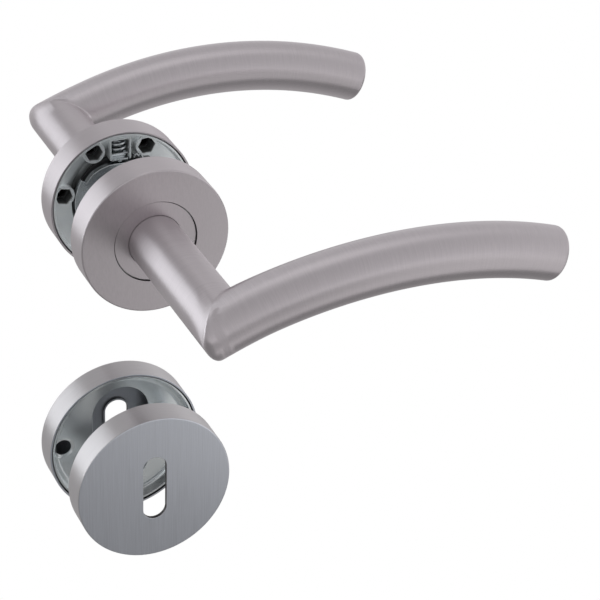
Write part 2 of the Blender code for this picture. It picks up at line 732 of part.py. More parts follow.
def make_escutcheon_fixing(parent):
    """Small bolt and flanged sleeve through the right-hand holes of the two plates."""
    place = (PLATE_HOLE_OFFSET, 0, 0)
    behind = DOOR_GAP / 2 + PLATE_FLOOR + PLATE_THICKNESS + CLEARANCE
    end = behind + CLEARANCE
    make_bolt("escutcheon_bolt", -behind, end, SMALL_BOLT_RADIUS, WIDE_HEAD_RADIUS, parent, place)
    start = -DOOR_GAP / 2 - PLATE_FLOOR + CLEARANCE
    bore = SMALL_BOLT_RADIUS + CLEARANCE
    shape = bmesh.new()
    profile = [
        (bore, start),
        (SMALL_SLEEVE_RADIUS, start),
        (SMALL_SLEEVE_RADIUS, behind),
        (WIDE_HEAD_RADIUS, behind),
        (WIDE_HEAD_RADIUS, behind + BOLT_HEAD_THICKNESS),
        (bore, behind + BOLT_HEAD_THICKNESS),
    ]
    add_tube(shape, profile, 1, SMALL_STEPS)
    solid("escutcheon_sleeve", shape, bpy.data.materials["bright_steel"], parent, place)


def make_materials():
    metal("satin_steel", (0.62, 0.58, 0.57), 0.35)
    metal("cool_steel", (0.55, 0.57, 0.60), 0.35)
    metal("zinc", (0.60, 0.64, 0.66), 0.28)
    metal("dark_steel", (0.30, 0.31, 0.33), 0.40)
    metal("bright_steel", (0.72, 0.74, 0.76), 0.22)
    metal("nylon", (0.035, 0.035, 0.037), 0.5, metallic=0.0)
    metal("tool", (0.8, 0.2, 0.2), 0.5, metallic=0.0)


def make_side(prefix, side):
    """Everything on one side of the door: rose, lever, its return springs and escutcheon."""
    face = side * DOOR_GAP / 2
    rose = empty(prefix + "_rose_axis", (0, face, 0))
    make_rose_cover(prefix, side, rose)
    make_base(prefix, side, rose)
    make_bush(prefix, side, rose)
    make_clip(prefix, side, rose)
    for up in (1, -1):
        make_plunger(prefix, side, rose, up)

    lever = empty(prefix + "_lever_axis", (0, face, 0))
    grub_tool = make_grub(prefix, side, lever)
    make_collar(prefix, side, lever)
    make_neck(prefix, side, lever, grub_tool)
    make_grip(prefix, side, lever)
    make_hub(prefix, side, lever, grub_tool)
    make_rotor(prefix, side, lever)

    escutcheon = empty(prefix + "_escutcheon_axis", (0, face, -ESCUTCHEON_DROP))
    make_escutcheon_cover(prefix, side, escutcheon)
    make_escutcheon_base(prefix, side, escutcheon)


def main():
    clear_scene()
    make_materials()
    make_side("front", -1)
    make_side("back", 1)
    spindle_axis = empty("spindle_axis", (0, 0, 0))
    make_spindle(spindle_axis)
    for number, angle in enumerate(ROSE_BOLT_ANGLES, 1):
        make_rose_fixing(number, angle, spindle_axis)
    keyhole_axis = empty("keyhole_axis", (0, 0, -ESCUTCHEON_DROP))
    make_escutcheon_fixing(keyhole_axis)


main()
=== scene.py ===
"""The looks of a pair of lever handles on round roses, with a pair of keyhole escutcheons.

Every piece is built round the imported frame, in its axes: the origin lies on the spindle's
axis, half way through the door, +X runs along the grips, +Y to the back of the door, +Z up.
Each side of the door has its own sign, -1 for the front and +1 for the back, and a depth is
measured from that face of the door outwards.
"""

import math

import bmesh
import bpy
from mathutils import Matrix, Vector


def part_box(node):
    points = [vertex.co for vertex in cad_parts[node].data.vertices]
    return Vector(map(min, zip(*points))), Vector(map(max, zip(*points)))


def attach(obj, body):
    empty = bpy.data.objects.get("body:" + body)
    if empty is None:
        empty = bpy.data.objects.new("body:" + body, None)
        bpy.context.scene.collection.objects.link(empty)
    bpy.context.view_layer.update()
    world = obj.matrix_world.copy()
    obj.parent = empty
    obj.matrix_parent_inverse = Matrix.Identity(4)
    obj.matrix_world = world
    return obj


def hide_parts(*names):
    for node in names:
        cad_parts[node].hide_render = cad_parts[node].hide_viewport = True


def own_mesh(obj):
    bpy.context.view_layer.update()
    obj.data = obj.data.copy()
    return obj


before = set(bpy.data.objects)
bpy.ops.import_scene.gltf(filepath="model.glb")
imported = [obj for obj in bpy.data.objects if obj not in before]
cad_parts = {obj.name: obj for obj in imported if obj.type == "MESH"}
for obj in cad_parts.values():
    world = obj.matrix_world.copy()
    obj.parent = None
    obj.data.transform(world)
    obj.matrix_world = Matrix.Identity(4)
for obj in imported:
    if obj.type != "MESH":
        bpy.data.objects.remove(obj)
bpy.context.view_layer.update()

MM = 0.001
SIDES = {"front": -1, "back": 1}


def depths(node):
    """Where a piece starts and ends, as depths from the door's back face."""
    low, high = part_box(node)
    return low.y - DOOR_FACE, high.y - DOOR_FACE


# Sizes read from the frame
DOOR_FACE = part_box("back_rose_cover")[0].y
ROSE_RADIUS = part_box("back_rose_cover")[1].x
ROSE_DEPTH = depths("back_rose_cover")[1]
ESCUTCHEON_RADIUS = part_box("back_escutcheon_cover")[1].x
ESCUTCHEON_DEPTH = depths("back_escutcheon_cover")[1]
ESCUTCHEON_Z = sum(corner.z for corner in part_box("back_escutcheon_cover")) / 2
COLLAR_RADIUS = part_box("back_collar_ring")[1].x
COLLAR_FACE = depths("back_collar_ring")[0]
TUBE_RADIUS = -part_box("back_neck_tube")[0].x
NECK_START = depths("back_neck_tube")[0]
BASE_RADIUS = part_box("back_mounting_base")[1].x
BASE_RIM, BASE_BACK = depths("back_mounting_base")
BUSH_FLANGE_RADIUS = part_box("back_bearing_bush")[1].x
BUSH_FLANGE_FACE = depths("back_bearing_bush")[0]
HUB_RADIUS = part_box("back_spindle_hub")[1].x
HUB_SQUARE_END, HUB_END = depths("back_spindle_hub")
ROTOR_FACE, ROTOR_BACK = depths("back_rotor")
RING_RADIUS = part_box("back_retaining_ring")[1].x
RING_FACE, RING_BACK = depths("back_retaining_ring")
PLUNGER_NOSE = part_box("back_upper_plunger")[0].z
PLUNGER_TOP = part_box("back_upper_plunger")[1].z
PLUNGER_HALF_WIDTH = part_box("back_upper_plunger")[1].x
PLUNGER_FACE, PLUNGER_BACK = depths("back_upper_plunger")
SPINDLE_HALF_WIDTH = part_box("spindle")[1].x
PLATE_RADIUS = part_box("back_escutcheon_base")[1].x
PLATE_RIM, PLATE_BACK = depths("back_escutcheon_base")

# Details of the lever
NECK_LENGTH = 60.4 * MM
NECK_END = ROSE_DEPTH + NECK_LENGTH
TUBE_WALL = 1.5 * MM
GRIP_REACH = 121.2 * MM
GRIP_RISE = 11.3 * MM
GRIP_END_RISE = 2.2 * MM
GRIP_SWAY = 2.1 * MM
GRIP_LEAN = 3.2 * MM
SWAY_EASE = 0.05
GRIP_CHORD = math.hypot(GRIP_REACH, GRIP_END_RISE)
GRIP_ARC_RADIUS = ((GRIP_CHORD / 2) ** 2 + GRIP_RISE ** 2) / (2 * GRIP_RISE)
GRIP_HALF_ANGLE = math.asin(GRIP_CHORD / 2 / GRIP_ARC_RADIUS)
GRIP_START_ANGLE = GRIP_HALF_ANGLE + math.atan2(GRIP_END_RISE, GRIP_REACH)
GRIP_LENGTH = 2 * GRIP_HALF_ANGLE * GRIP_ARC_RADIUS
MITRE_ROUNDING = 0.4 * MM
MITRE_OUTER_ROUNDING = 2.4 * MM
MITRE_INNER_ROUNDING = 0.8 * MM
MITRE_EASE = 15 * MM
END_ROUNDING = 1.7 * MM
GRUB_DEPTH = 17.0 * MM
GRUB_RADIUS = 2.5 * MM
GRUB_KEY_FLATS = 2.5 * MM
GRUB_THREADS = 5

# Details of the covers
COVER_WALL = 0.8 * MM
COVER_EDGE = 0.55 * MM
COLLAR_SINK = 0.55 * MM
RIM_EDGE = 0.2 * MM
FINE_EDGE = 0.15 * MM
KEYHOLE_WIDTH = 8.9 * MM
KEYHOLE_HEIGHT = 26.3 * MM
KEYHOLE_DEPTH = 1.6 * MM
KEYHOLE_RIM = 0.7 * MM
KEYHOLE_LIP = 0.14 * MM
CLEARANCE = 0.3 * MM

# Details of the mounting base
BASE_FLOOR = 3.2 * MM
BASE_RIM_WALL = 0.8 * MM
BASE_BORE = 13.3 * MM
CHANNEL_RADIUS = 18.0 * MM
CHANNEL_DEPTH = 8.0 * MM
DISH_RADIUS = 24.4 * MM
DISH_DEPTH = 6.4 * MM
DISH_CURVE = 0.6
DISH_ANGLES = (math.radians(66), math.radians(174))
BOSS_PITCH_RADIUS = 21.2 * MM
BOSS_RADIUS = 4.0 * MM
BOSS_TOP = 2.8 * MM
BOSS_ROOT = 8.4 * MM
BOSS_ANGLES = [math.radians(angle) for angle in (63, 117, 169, 243, 297, 349)]
ROSE_BOLT_ANGLES = [math.radians(angle) for angle in (243, 349)]
HEX_SOCKET_FLATS = 5.6 * MM
HEX_SOCKET_DEPTH = 7.2 * MM
BOLT_HOLE_RADIUS = 2.35 * MM
BOLT_HEAD_SEAT = 8.5 * MM
BOLT_HEAD_BORE = 3.9 * MM
POCKET_HALF_WIDTH = 3.3 * MM
POCKET_WALL = 0.6 * MM
POCKET_BOTTOM = 14.9 * MM
POCKET_TOP = 22.4 * MM
POCKET_DEPTH = 8.6 * MM

# Details of the rotor, its plungers and springs
CAM_REST_RADIUS = 13.3 * MM
CAM_RISE_PER_RADIAN = 1.72 * MM
CAM_TOP_RADIUS = 14.6 * MM
LUG_RADIUS = 16.8 * MM
LUG_HALF_ANGLE = 32
ROTOR_GROOVE = (10.6 * MM, 12.2 * MM)
ROTOR_GROOVE_DEPTH = 0.35 * MM
HUB_SQUARE = 10.4 * MM
HUB_SHOULDER = 5.8 * MM
GROOVE_RADIUS = 6.3 * MM
RING_OPENING = math.radians(25)
PLUNGER_SHOULDER = 14.3 * MM
PLUNGER_GROOVE = (15.0 * MM, 16.9 * MM)
PLUNGER_GROOVE_DEPTH = 2.4 * MM
PLUNGER_NOSE_HALF_WIDTH = 0.7 * MM
SPRING_WIRE = 0.45 * MM
SPRING_RADIUS = 2.4 * MM
SPRING_DEPTH = 5.5 * MM
SPRING_TURNS = 2
SPRING_END_TURN = 0.25
CLIP_WIRE = 0.3 * MM
CLIP_DEPTH = 2.4 * MM
CLIP_FOOT = 7.4 * MM
CLIP_BENDS = [(5.0, 15.2), (5.5, 16.8), (6.4, 15.5), (7.3, 16.5), (8.2, 14.3)]

# Details of the escutcheon base
PLATE_THICKNESS = 1.0 * MM
PLATE_WALL_RUN = 1.6 * MM
PLATE_OPENING_WIDTH = 22.0 * MM
PLATE_OPENING_HEIGHT = 43.0 * MM
PLATE_HOLE_OFFSET = 22.5 * MM
PLATE_HOLE_RADIUS = 3.1 * MM
DIMPLE_RADIUS = 4.6 * MM
DIMPLE_DEPTH = 0.55 * MM

# Details of the fixings
SPINDLE_TAPER = 0.86
DRIVER_SLOT = 1.0 * MM
BOLT_RADIUS = 1.7 * MM
BOLT_HEAD_RADIUS = 3.4 * MM
BOLT_HEAD_THICKNESS = 1.4 * MM
SLEEVE_RADIUS = 2.45 * MM
SLEEVE_HEX_FLATS = HEX_SOCKET_FLATS - 2 * CLEARANCE
SMALL_BOLT_RADIUS = 1.4 * MM
WIDE_HEAD_RADIUS = 4.3 * MM
SMALL_SLEEVE_RADIUS = 2.1 * MM
THREAD_PITCH = 0.7 * MM
THREAD_LENGTH = 14.0 * MM
THREAD_DEPTH = 0.25 * MM

# How finely round shapes are divided
TURNED_STEPS = 144
TUBE_STEPS = 96
SMALL_STEPS = 40
NECK_ROWS = 6
MITRE_ROWS = 8
GRIP_ROWS = 56
END_ROWS = 6
END_FACE_SHARES = (0.66, 0.33)
CORNER_STEPS = 5
DISH_STEPS = 10
DISH_SECTOR_STEPS = 24
CAM_STEPS = 24
HUB_STEPS = 64
RING_STEPS = 60
DIMPLE_STEPS = 8
DIMPLE_SIDES = 56
SPRING_STEPS_A_TURN = 28
WIRE_SIDES = 10

# Sharpest turns, in degrees, that stay unbevelled or shaded smooth
BEVEL_ANGLE = 40
SMOOTH_ANGLE = 38


# Outlines


def polar(radius, angle):
    return (radius * math.cos(angle), radius * math.sin(angle))


BOSS_CENTRES = [polar(BOSS_PITCH_RADIUS, angle) for angle in BOSS_ANGLES]


def square(width):
    half = width / 2
    return [(half, half), (-half, half), (-half, -half), (half, -half)]


def spokes(radius, count, turn=0.0):
    """Points evenly spaced round the origin."""
    return [polar(radius, turn + 2 * math.pi * step / count) for step in range(count)]


def hexagon(flats, centre=(0, 0), turn=0.0):
    return [(centre[0] + x, centre[1] + z) for x, z in spokes(flats / math.sqrt(3), 6, turn)]


def obround(width, height, steps):
    """An upright slot with round ends, as evenly spaced points counted from its right-hand side."""
    radius = width / 2
    rise = height / 2 - radius
    quarter = radius * math.pi / 2
    length = 4 * (rise + quarter)
    points = []
    for step in range(steps):
        way = (length * step / steps + rise) % length
        half, along = divmod(way, length / 2)
        if along < 2 * rise:
            point = (radius, along - rise)
        else:
            x, z = polar(radius, (along - 2 * rise) / radius)
            point = (x, rise + z)
        sign = 1 if half == 0 else -1
        points.append((sign * point[0], sign * point[1]))
    return points


def soften(outline, radius, steps=CORNER_STEPS, closed=True):
    """Round an outline's corners; radius is one number, or one for each corner."""
    points = []
    count = len(outline)
    for index, corner in enumerate(outline):
        here = radius[index] if isinstance(radius, list) else radius
        corner = Vector(corner)
        at_end = not closed and index in (0, count - 1)
        if here == 0 or at_end:
            points.append(tuple(corner))
            continue
        before = Vector(outline[index - 1]) - corner
        after = Vector(outline[(index + 1) % count]) - corner
        half = before.angle(after) / 2
        reach = min(here / math.tan(half), 0.48 * before.length, 0.48 * after.length)
        inward = (before.normalized() + after.normalized()).normalized()
        centre = corner + inward * reach / math.cos(half)
        start = corner + before.normalized() * reach - centre
        end = corner + after.normalized() * reach - centre
        turn = math.atan2(start.x * end.y - start.y * end.x, start.dot(end))
        for step in range(steps + 1):
            angle = turn * step / steps
            x = start.x * math.cos(angle) - start.y * math.sin(angle)
            y = start.x * math.sin(angle) + start.y * math.cos(angle)
            points.append((centre.x + x, centre.y + y))
    return points


# Mesh making


def place(side, x, depth, z):
    """A point at a depth on one side of the door."""
    return Vector((x, side * (DOOR_FACE + depth), z))


def circle(side, radius, depth, steps, centre=(0, 0)):
    return [place(side, centre[0] + x, depth, centre[1] + z) for x, z in spokes(radius, steps)]


def skin(rings, loop=False, shape=None):
    """Join rings of points by faces, in a new shape unless one is given.

    The ends are closed, unless the last ring meets the first in a loop.
    """
    if shape is None:
        shape = bmesh.new()
    rows = [[shape.verts.new(point) for point in ring] for ring in rings]
    pairs = list(zip(rows, rows[1:]))
    if loop:
        pairs.append((rows[-1], rows[0]))
    for first, second in pairs:
        for step, corner in enumerate(first):
            after = (step + 1) % len(first)
            shape.faces.new((corner, first[after], second[after], second[step]))
    if not loop:
        shape.faces.new(rows[0])
        shape.faces.new(rows[-1])
    return shape


def turn_tube(side, profile, steps=TURNED_STEPS, centre=(0, 0)):
    """Turn a closed outline of (radius, depth) points round an axis along Y."""
    return skin([circle(side, radius, depth, steps, centre) for radius, depth in profile], loop=True)


def turn_rods(side, profile, steps=SMALL_STEPS, centres=((0, 0),)):
    """Turn an open outline of (radius, depth) points round each centre and close its ends."""
    shape = bmesh.new()
    for centre in centres:
        skin([circle(side, radius, depth, steps, centre) for radius, depth in profile], shape=shape)
    return shape


def extrude(side, start, end, *outlines):
    """Draw outlines of (x, z) points out between two depths."""
    shape = bmesh.new()
    for outline in outlines:
        skin([[place(side, x, depth, z) for x, z in outline] for depth in (start, end)], shape=shape)
    return shape


def upright_rod(side, profile):
    """Turn an open outline of (radius, z) points round the grub screw's upright axis."""
    centre_y = side * (DOOR_FACE + GRUB_DEPTH)
    rings = []
    for radius, z in profile:
        rings.append([Vector((x, centre_y + y, z)) for x, y in spokes(radius, SMALL_STEPS)])
    return skin(rings)


def make_object(name, shape):
    bmesh.ops.recalc_face_normals(shape, faces=shape.faces)
    mesh = bpy.data.meshes.new(name)
    shape.to_mesh(mesh)
    shape.free()
    item = bpy.data.objects.new(name, mesh)
    bpy.context.scene.collection.objects.link(item)
    return item


def combine(item, operation, shape):
    other = make_object("cutter", shape)
    step = item.modifiers.new("combine", "BOOLEAN")
    step.operation = operation
    step.solver = "EXACT"
    step.object = other
    settle(item)
    bpy.data.objects.remove(other, do_unlink=True)


def join(item, shape):
    combine(item, "UNION", shape)


def cut(item, shape):
    combine(item, "DIFFERENCE", shape)


def settle(item):
    """Turn a piece's modifiers into its mesh."""
    depsgraph = bpy.context.evaluated_depsgraph_get()
    mesh = bpy.data.meshes.new_from_object(item.evaluated_get(depsgraph))
    item.modifiers.clear()
    item.data = mesh


def bevel(item, width, segments=3):
    step = item.modifiers.new("edges", "BEVEL")
    step.width = width
    step.segments = segments
    step.limit_method = "ANGLE"
    step.angle_limit = math.radians(BEVEL_ANGLE)
    step.harden_normals = True
    step.use_clamp_overlap = True
    settle(item)


def finish_piece(item, finish, slot, body, *nodes, sharp=SMOOTH_ANGLE):
    """Give a piece its shading, material and place in the frame."""
    item.data.shade_smooth()
    item.data.set_sharp_from_angle(angle=math.radians(sharp))
    item.data.materials.clear()
    item.data.materials.append(finish)
    weighting = item.modifiers.new("normals", "WEIGHTED_NORMAL")
    weighting.keep_sharp = True
    weighting.weight = 90
    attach(item, body)
    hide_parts(*nodes)


# Materials


def set_inputs(finish, node, inputs):
    """Set a node's inputs, by name or number, to values or to other nodes' outputs."""
    for name, value in inputs.items():
        if isinstance(value, bpy.types.NodeSocket):
            finish.node_tree.links.new(value, node.inputs[name])
        else:
            node.inputs[name].default_value = value


def add_node(finish, kind, inputs=None):
    node = finish.node_tree.nodes.new("ShaderNode" + kind)
    set_inputs(finish, node, inputs or {})
    return node


def set_shader(finish, inputs):
    set_inputs(finish, finish.node_tree.nodes["Principled BSDF"], inputs)


def new_material(name, colour, roughness, metallic=1.0):
    finish = bpy.data.materials.new(name)
    finish.use_nodes = True
    set_shader(finish, {"Base Color": (*colour, 1.0), "Roughness": roughness, "Metallic": metallic})
    return finish


def position(finish, kind="Object"):
    return add_node(finish, "TexCoord").outputs[kind]


def split(finish, vector):
    return add_node(finish, "SeparateXYZ", {"Vector": vector}).outputs


def attribute(finish, name):
    """Outputs of what the mesh stores under a name."""
    node = add_node(finish, "Attribute")
    node.attribute_name = name
    return node.outputs


def calculate(finish, operation, *values):
    node = add_node(finish, "Math", dict(enumerate(values)))
    node.operation = operation
    return node.outputs["Value"]


def mix(finish, kind, share, first, second, blend="MIX"):
    """Mix two values, vectors or colours."""
    node = add_node(finish, "Mix")
    node.data_type = kind
    node.blend_type = blend
    start, output = MIX_SOCKETS[kind]
    set_inputs(finish, node, {0: share, start: first, start + 1: second})
    return node.outputs[output]


def streaks(finish, vector, stretch, detail=4):
    """Noise drawn out into fine lines across the stretched axis."""
    scaled = add_node(finish, "Mapping", {"Vector": vector, "Scale": stretch}).outputs["Vector"]
    noise = {"Vector": scaled, "Scale": 1.0, "Detail": detail, "Roughness": 0.6}
    return add_node(finish, "TexNoise", noise).outputs["Fac"]


def spread(finish, source, low, high, from_low=0.3, from_high=0.7):
    """Map a pattern onto a range of values."""
    ends = {"From Min": from_low, "From Max": from_high, "To Min": low, "To Max": high}
    return add_node(finish, "MapRange", {"Value": source, **ends}).outputs["Result"]


def shaded(colour, share):
    """A colour with each channel multiplied by a share."""
    return (*(channel * share for channel in colour), 1.0)


def shade(finish, paint, mask, colour):
    """Multiply a paint by a colour where the mask is 1."""
    return mix(finish, "RGBA", mask, paint, (*colour, 1.0), "MULTIPLY")


def darken(finish, paint, mask, share):
    return shade(finish, paint, mask, (share, share, share))


def depth_below(finish, start, end):
    """Mask that rises from 0 to 1 between two depths from the door's face, on either side."""
    reach = calculate(finish, "ABSOLUTE", split(finish, position(finish))["Y"])
    return spread(finish, reach, 0.0, 1.0, DOOR_FACE + start, DOOR_FACE + end)


def near_axes(finish, radius, centres):
    """Mask that is 1 within a radius of any axis along Y through the centres."""
    mask = None
    for x, z in centres:
        move = {"Vector": position(finish), "Location": (-x, 0, -z), "Scale": (1, 0, 1)}
        moved = add_node(finish, "Mapping", move).outputs["Vector"]
        length = add_node(finish, "VectorMath", {0: moved})
        length.operation = "LENGTH"
        near = spread(finish, length.outputs["Value"], 1.0, 0.0, radius - 0.1 * MM, radius + 0.1 * MM)
        mask = near if mask is None else calculate(finish, "MAXIMUM", mask, near)
    return mask


def use_pattern(finish, pattern, colour, contrast, roughness, change, strength):
    """Feed one pattern to a material's colour, roughness and normal."""
    even = spread(finish, pattern, 0.0, 1.0)
    paint = mix(finish, "RGBA", even, shaded(colour, 1 - contrast), shaded(colour, 1 + contrast))
    rough = spread(finish, pattern, roughness - change, roughness + change)
    relief = {"Height": pattern, "Strength": strength, "Distance": RELIEF}
    normal = add_node(finish, "Bump", relief).outputs["Normal"]
    set_shader(finish, {"Base Color": paint, "Roughness": rough, "Normal": normal})
    return paint


def stretch_shine(finish, direction):
    """Spread reflections along a direction, as brushing across it does."""
    turning = add_node(finish, "VectorTransform", {"Vector": direction})
    turning.vector_type = "VECTOR"
    turning.convert_from = "OBJECT"
    turning.convert_to = "WORLD"
    set_shader(finish, {"Tangent": turning.outputs["Vector"], "Anisotropic": BRUSHING})


def make_tube_steel(name, colour):
    """Satin steel with fine rings of brushing round a tube, spaced by its stored run."""
    finish = new_material(name, colour, TUBE_ROUGHNESS)
    parts = split(finish, position(finish))
    places = {"X": attribute(finish, "run")["Fac"], "Y": parts["Y"], "Z": parts["Z"]}
    joined = add_node(finish, "CombineXYZ", places).outputs["Vector"]
    pattern = streaks(finish, joined, TUBE_STREAKS)
    use_pattern(finish, pattern, colour, 0.06, TUBE_ROUGHNESS, 0.03, 0.16)
    stretch_shine(finish, attribute(finish, "along")["Vector"])
    return finish


def make_cover_steel(name, colour, shell, face_streaks, contrast, strength, face_tint=(1, 1, 1)):
    """Satin steel brushed one way across a cover's face and round its band, with painted shade inside it,
    darker on its upright inner walls.

    shell is the cover's radius, depth and height above the spindle.
    """
    finish = new_material(name, colour, COVER_ROUGHNESS)
    face = streaks(finish, position(finish), face_streaks)
    band = streaks(finish, position(finish), BAND_STREAKS)
    flatness = calculate(finish, "ABSOLUTE", split(finish, position(finish, "Normal"))["Y"])
    flat = spread(finish, flatness, 0.0, 1.0, 0.5, 0.9)
    upright = spread(finish, flatness, 1.0, 0.0, 0.5, 0.9)
    pattern = mix(finish, "FLOAT", flat, band, face)
    paint = use_pattern(finish, pattern, colour, contrast, COVER_ROUGHNESS, 0.05, strength)
    stretch_shine(finish, mix(finish, "VECTOR", flat, (0, 1, 0), (1, 0, 0)))

    radius, depth, height = shell
    # Painted shade: the inside of the shell, behind its face, is darkened
    within = near_axes(finish, radius - COVER_WALL * 0.8, [(0, height)])
    behind = depth_below(finish, depth - 0.05 * MM, depth - 0.15 * MM)
    inner = calculate(finish, "MULTIPLY", within, behind)
    # Painted shade, darker still, on the upright walls inside the shell, such as the hole's wall
    edge = calculate(finish, "MULTIPLY", inner, upright)
    paint = shade(finish, paint, flat, face_tint)
    paint = darken(finish, paint, inner, INSIDE_SHADE_SHARE)
    set_shader(finish, {"Base Color": darken(finish, paint, edge, WALL_SHADE_SHARE)})
    return finish


def make_grained(name, colour, roughness, grain, contrast, strength, change=0.04, detail=3, metallic=1.0):
    """Cast, drawn or moulded material with soft clouding and a fine skin."""
    finish = new_material(name, colour, roughness, metallic)
    pattern = streaks(finish, position(finish), (grain, grain, grain), detail)
    use_pattern(finish, pattern, colour, contrast, roughness, change, strength)
    return finish


def make_casting_zinc(name, colour, roughness):
    """Plated zinc with painted shade that darkens its recesses with depth, and darkest painted shade in its
    hex sockets.
    """
    finish = make_grained(name, colour, roughness, 120, 0.03, 0.01, 0.03, 2, CASTING_METALLIC)
    shader = finish.node_tree.nodes["Principled BSDF"]
    paint = shader.inputs["Base Color"].links[0].from_socket
    # Painted shade that darkens with depth into the recesses
    paint = darken(finish, paint, depth_below(finish, *RECESS_SHADE_DEPTHS), RECESS_SHADE_SHARE)
    # Painted shade, darker still, down inside the hex sockets
    sockets = near_axes(finish, HEX_SOCKET_FLATS * 0.6, BOSS_CENTRES)
    below_top = depth_below(finish, BOSS_TOP + 0.3 * MM, BOSS_TOP + 0.9 * MM)
    socket_shade = calculate(finish, "MULTIPLY", sockets, below_top)
    set_shader(finish, {"Base Color": darken(finish, paint, socket_shade, SOCKET_SHADE_SHARE)})
    return finish


# First input and output of a Mix node for each kind of data
MIX_SOCKETS = {"FLOAT": (2, 0), "VECTOR": (4, 1), "RGBA": (6, 2)}

TUBE_ROUGHNESS = 0.42
COVER_ROUGHNESS = 0.38
CASTING_METALLIC = 0.6
# Painted shade in the casting's recesses: the depths over which it darkens, and the share of colour left at
# its darkest
RECESS_SHADE_DEPTHS = (3.6 * MM, 7.4 * MM)
RECESS_SHADE_SHARE = 0.35
# Share of colour left where painted shade darkens a cover's inside
INSIDE_SHADE_SHARE = 0.55
# Share of colour left where painted shade darkens the hex sockets
SOCKET_SHADE_SHARE = 0.3
# Share of colour left where painted shade darkens a cover's upright inner walls
WALL_SHADE_SHARE = 0.3
BRUSHING = 0.75
RELIEF = 0.02 * MM
TUBE_STREAKS = (4500, 150, 150)
BAND_STREAKS = (70, 4800, 70)
ROSE_STREAKS = (1800, 1800, 500)
ESCUTCHEON_STREAKS = (3600, 400, 60)
ROSE_SHELL = (ROSE_RADIUS, ROSE_DEPTH, 0.0)
COLLAR_SHELL = (ROSE_RADIUS, ROSE_DEPTH - COLLAR_SINK, 0.0)
ESCUTCHEON_SHELL = (ESCUTCHEON_RADIUS, ESCUTCHEON_DEPTH, ESCUTCHEON_Z)
WARM_STEEL = (0.612, 0.566, 0.588)
PLAIN_STEEL = (0.585, 0.562, 0.575)
COOL_TINT = (1.13, 1.21, 1.28)

TUBE_STEEL = make_tube_steel("brushed_tube_steel", WARM_STEEL)
ROSE_STEEL = make_cover_steel("brushed_rose_steel", WARM_STEEL, ROSE_SHELL, ROSE_STREAKS, 0.05, 0.18)
COLLAR_STEEL = make_cover_steel("brushed_collar_steel", WARM_STEEL, COLLAR_SHELL, ROSE_STREAKS, 0.05, 0.18)
ESCUTCHEON_STEEL = make_cover_steel(
    "brushed_escutcheon_steel", PLAIN_STEEL, ESCUTCHEON_SHELL, ESCUTCHEON_STREAKS, 0.07, 0.3, COOL_TINT
)
CASTING_ZINC = make_casting_zinc("die_cast_zinc", (0.96, 0.99, 1.0), 0.34)
PLATE_ZINC = make_grained("pressed_zinc", (0.80, 0.83, 0.84), 0.24, 60, 0.03, 0.01)
ROTOR_ZINC = make_grained("rotor_zinc", (0.84, 0.87, 0.89), 0.25, 200, 0.03, 0.01)
DARK_STEEL = make_grained("oiled_steel", (0.22, 0.23, 0.24), 0.36, 900, 0.04, 0.08)
BRIGHT_STEEL = make_grained("bright_plated_steel", (0.66, 0.68, 0.70), 0.16, 1500, 0.03, 0.03)
NYLON = make_grained("black_nylon", (0.035, 0.035, 0.037), 0.45, 700, 0.05, 0.15, 0.05, 2, 0.0)


# Lever


def arc_normal(run):
    """Upward normal of the grip's arc at a length along it."""
    angle = GRIP_START_ANGLE - run / GRIP_ARC_RADIUS
    return Vector((-math.sin(angle), 0, math.cos(angle)))


def grip_sway(run):
    """How far the grip has swayed away from the door: out a little, then in at its end."""
    share = max(run - TUBE_RADIUS, 0) / (GRIP_LENGTH - TUBE_RADIUS)
    sway = 4 * GRIP_SWAY * share * (1 - share) - GRIP_LEAN * share
    return sway * share / (share + SWAY_EASE)


def grip_centre(side, run):
    centre = GRIP_ARC_RADIUS * (arc_normal(run) - arc_normal(0))
    return centre + place(side, 0, NECK_END + grip_sway(run), 0)


def grip_point(side, around, run, radius=TUBE_RADIUS):
    """A point on the bowed grip; around is 0 where the grip faces the door."""
    outward = Vector((0, side, 0))
    offset = arc_normal(run) * math.sin(around) - outward * math.cos(around)
    return grip_centre(side, run) + radius * offset


def neck_point(side, around, depth, radius=TUBE_RADIUS):
    x, z = polar(radius, around + GRIP_START_ANGLE)
    return place(side, x, depth, z)


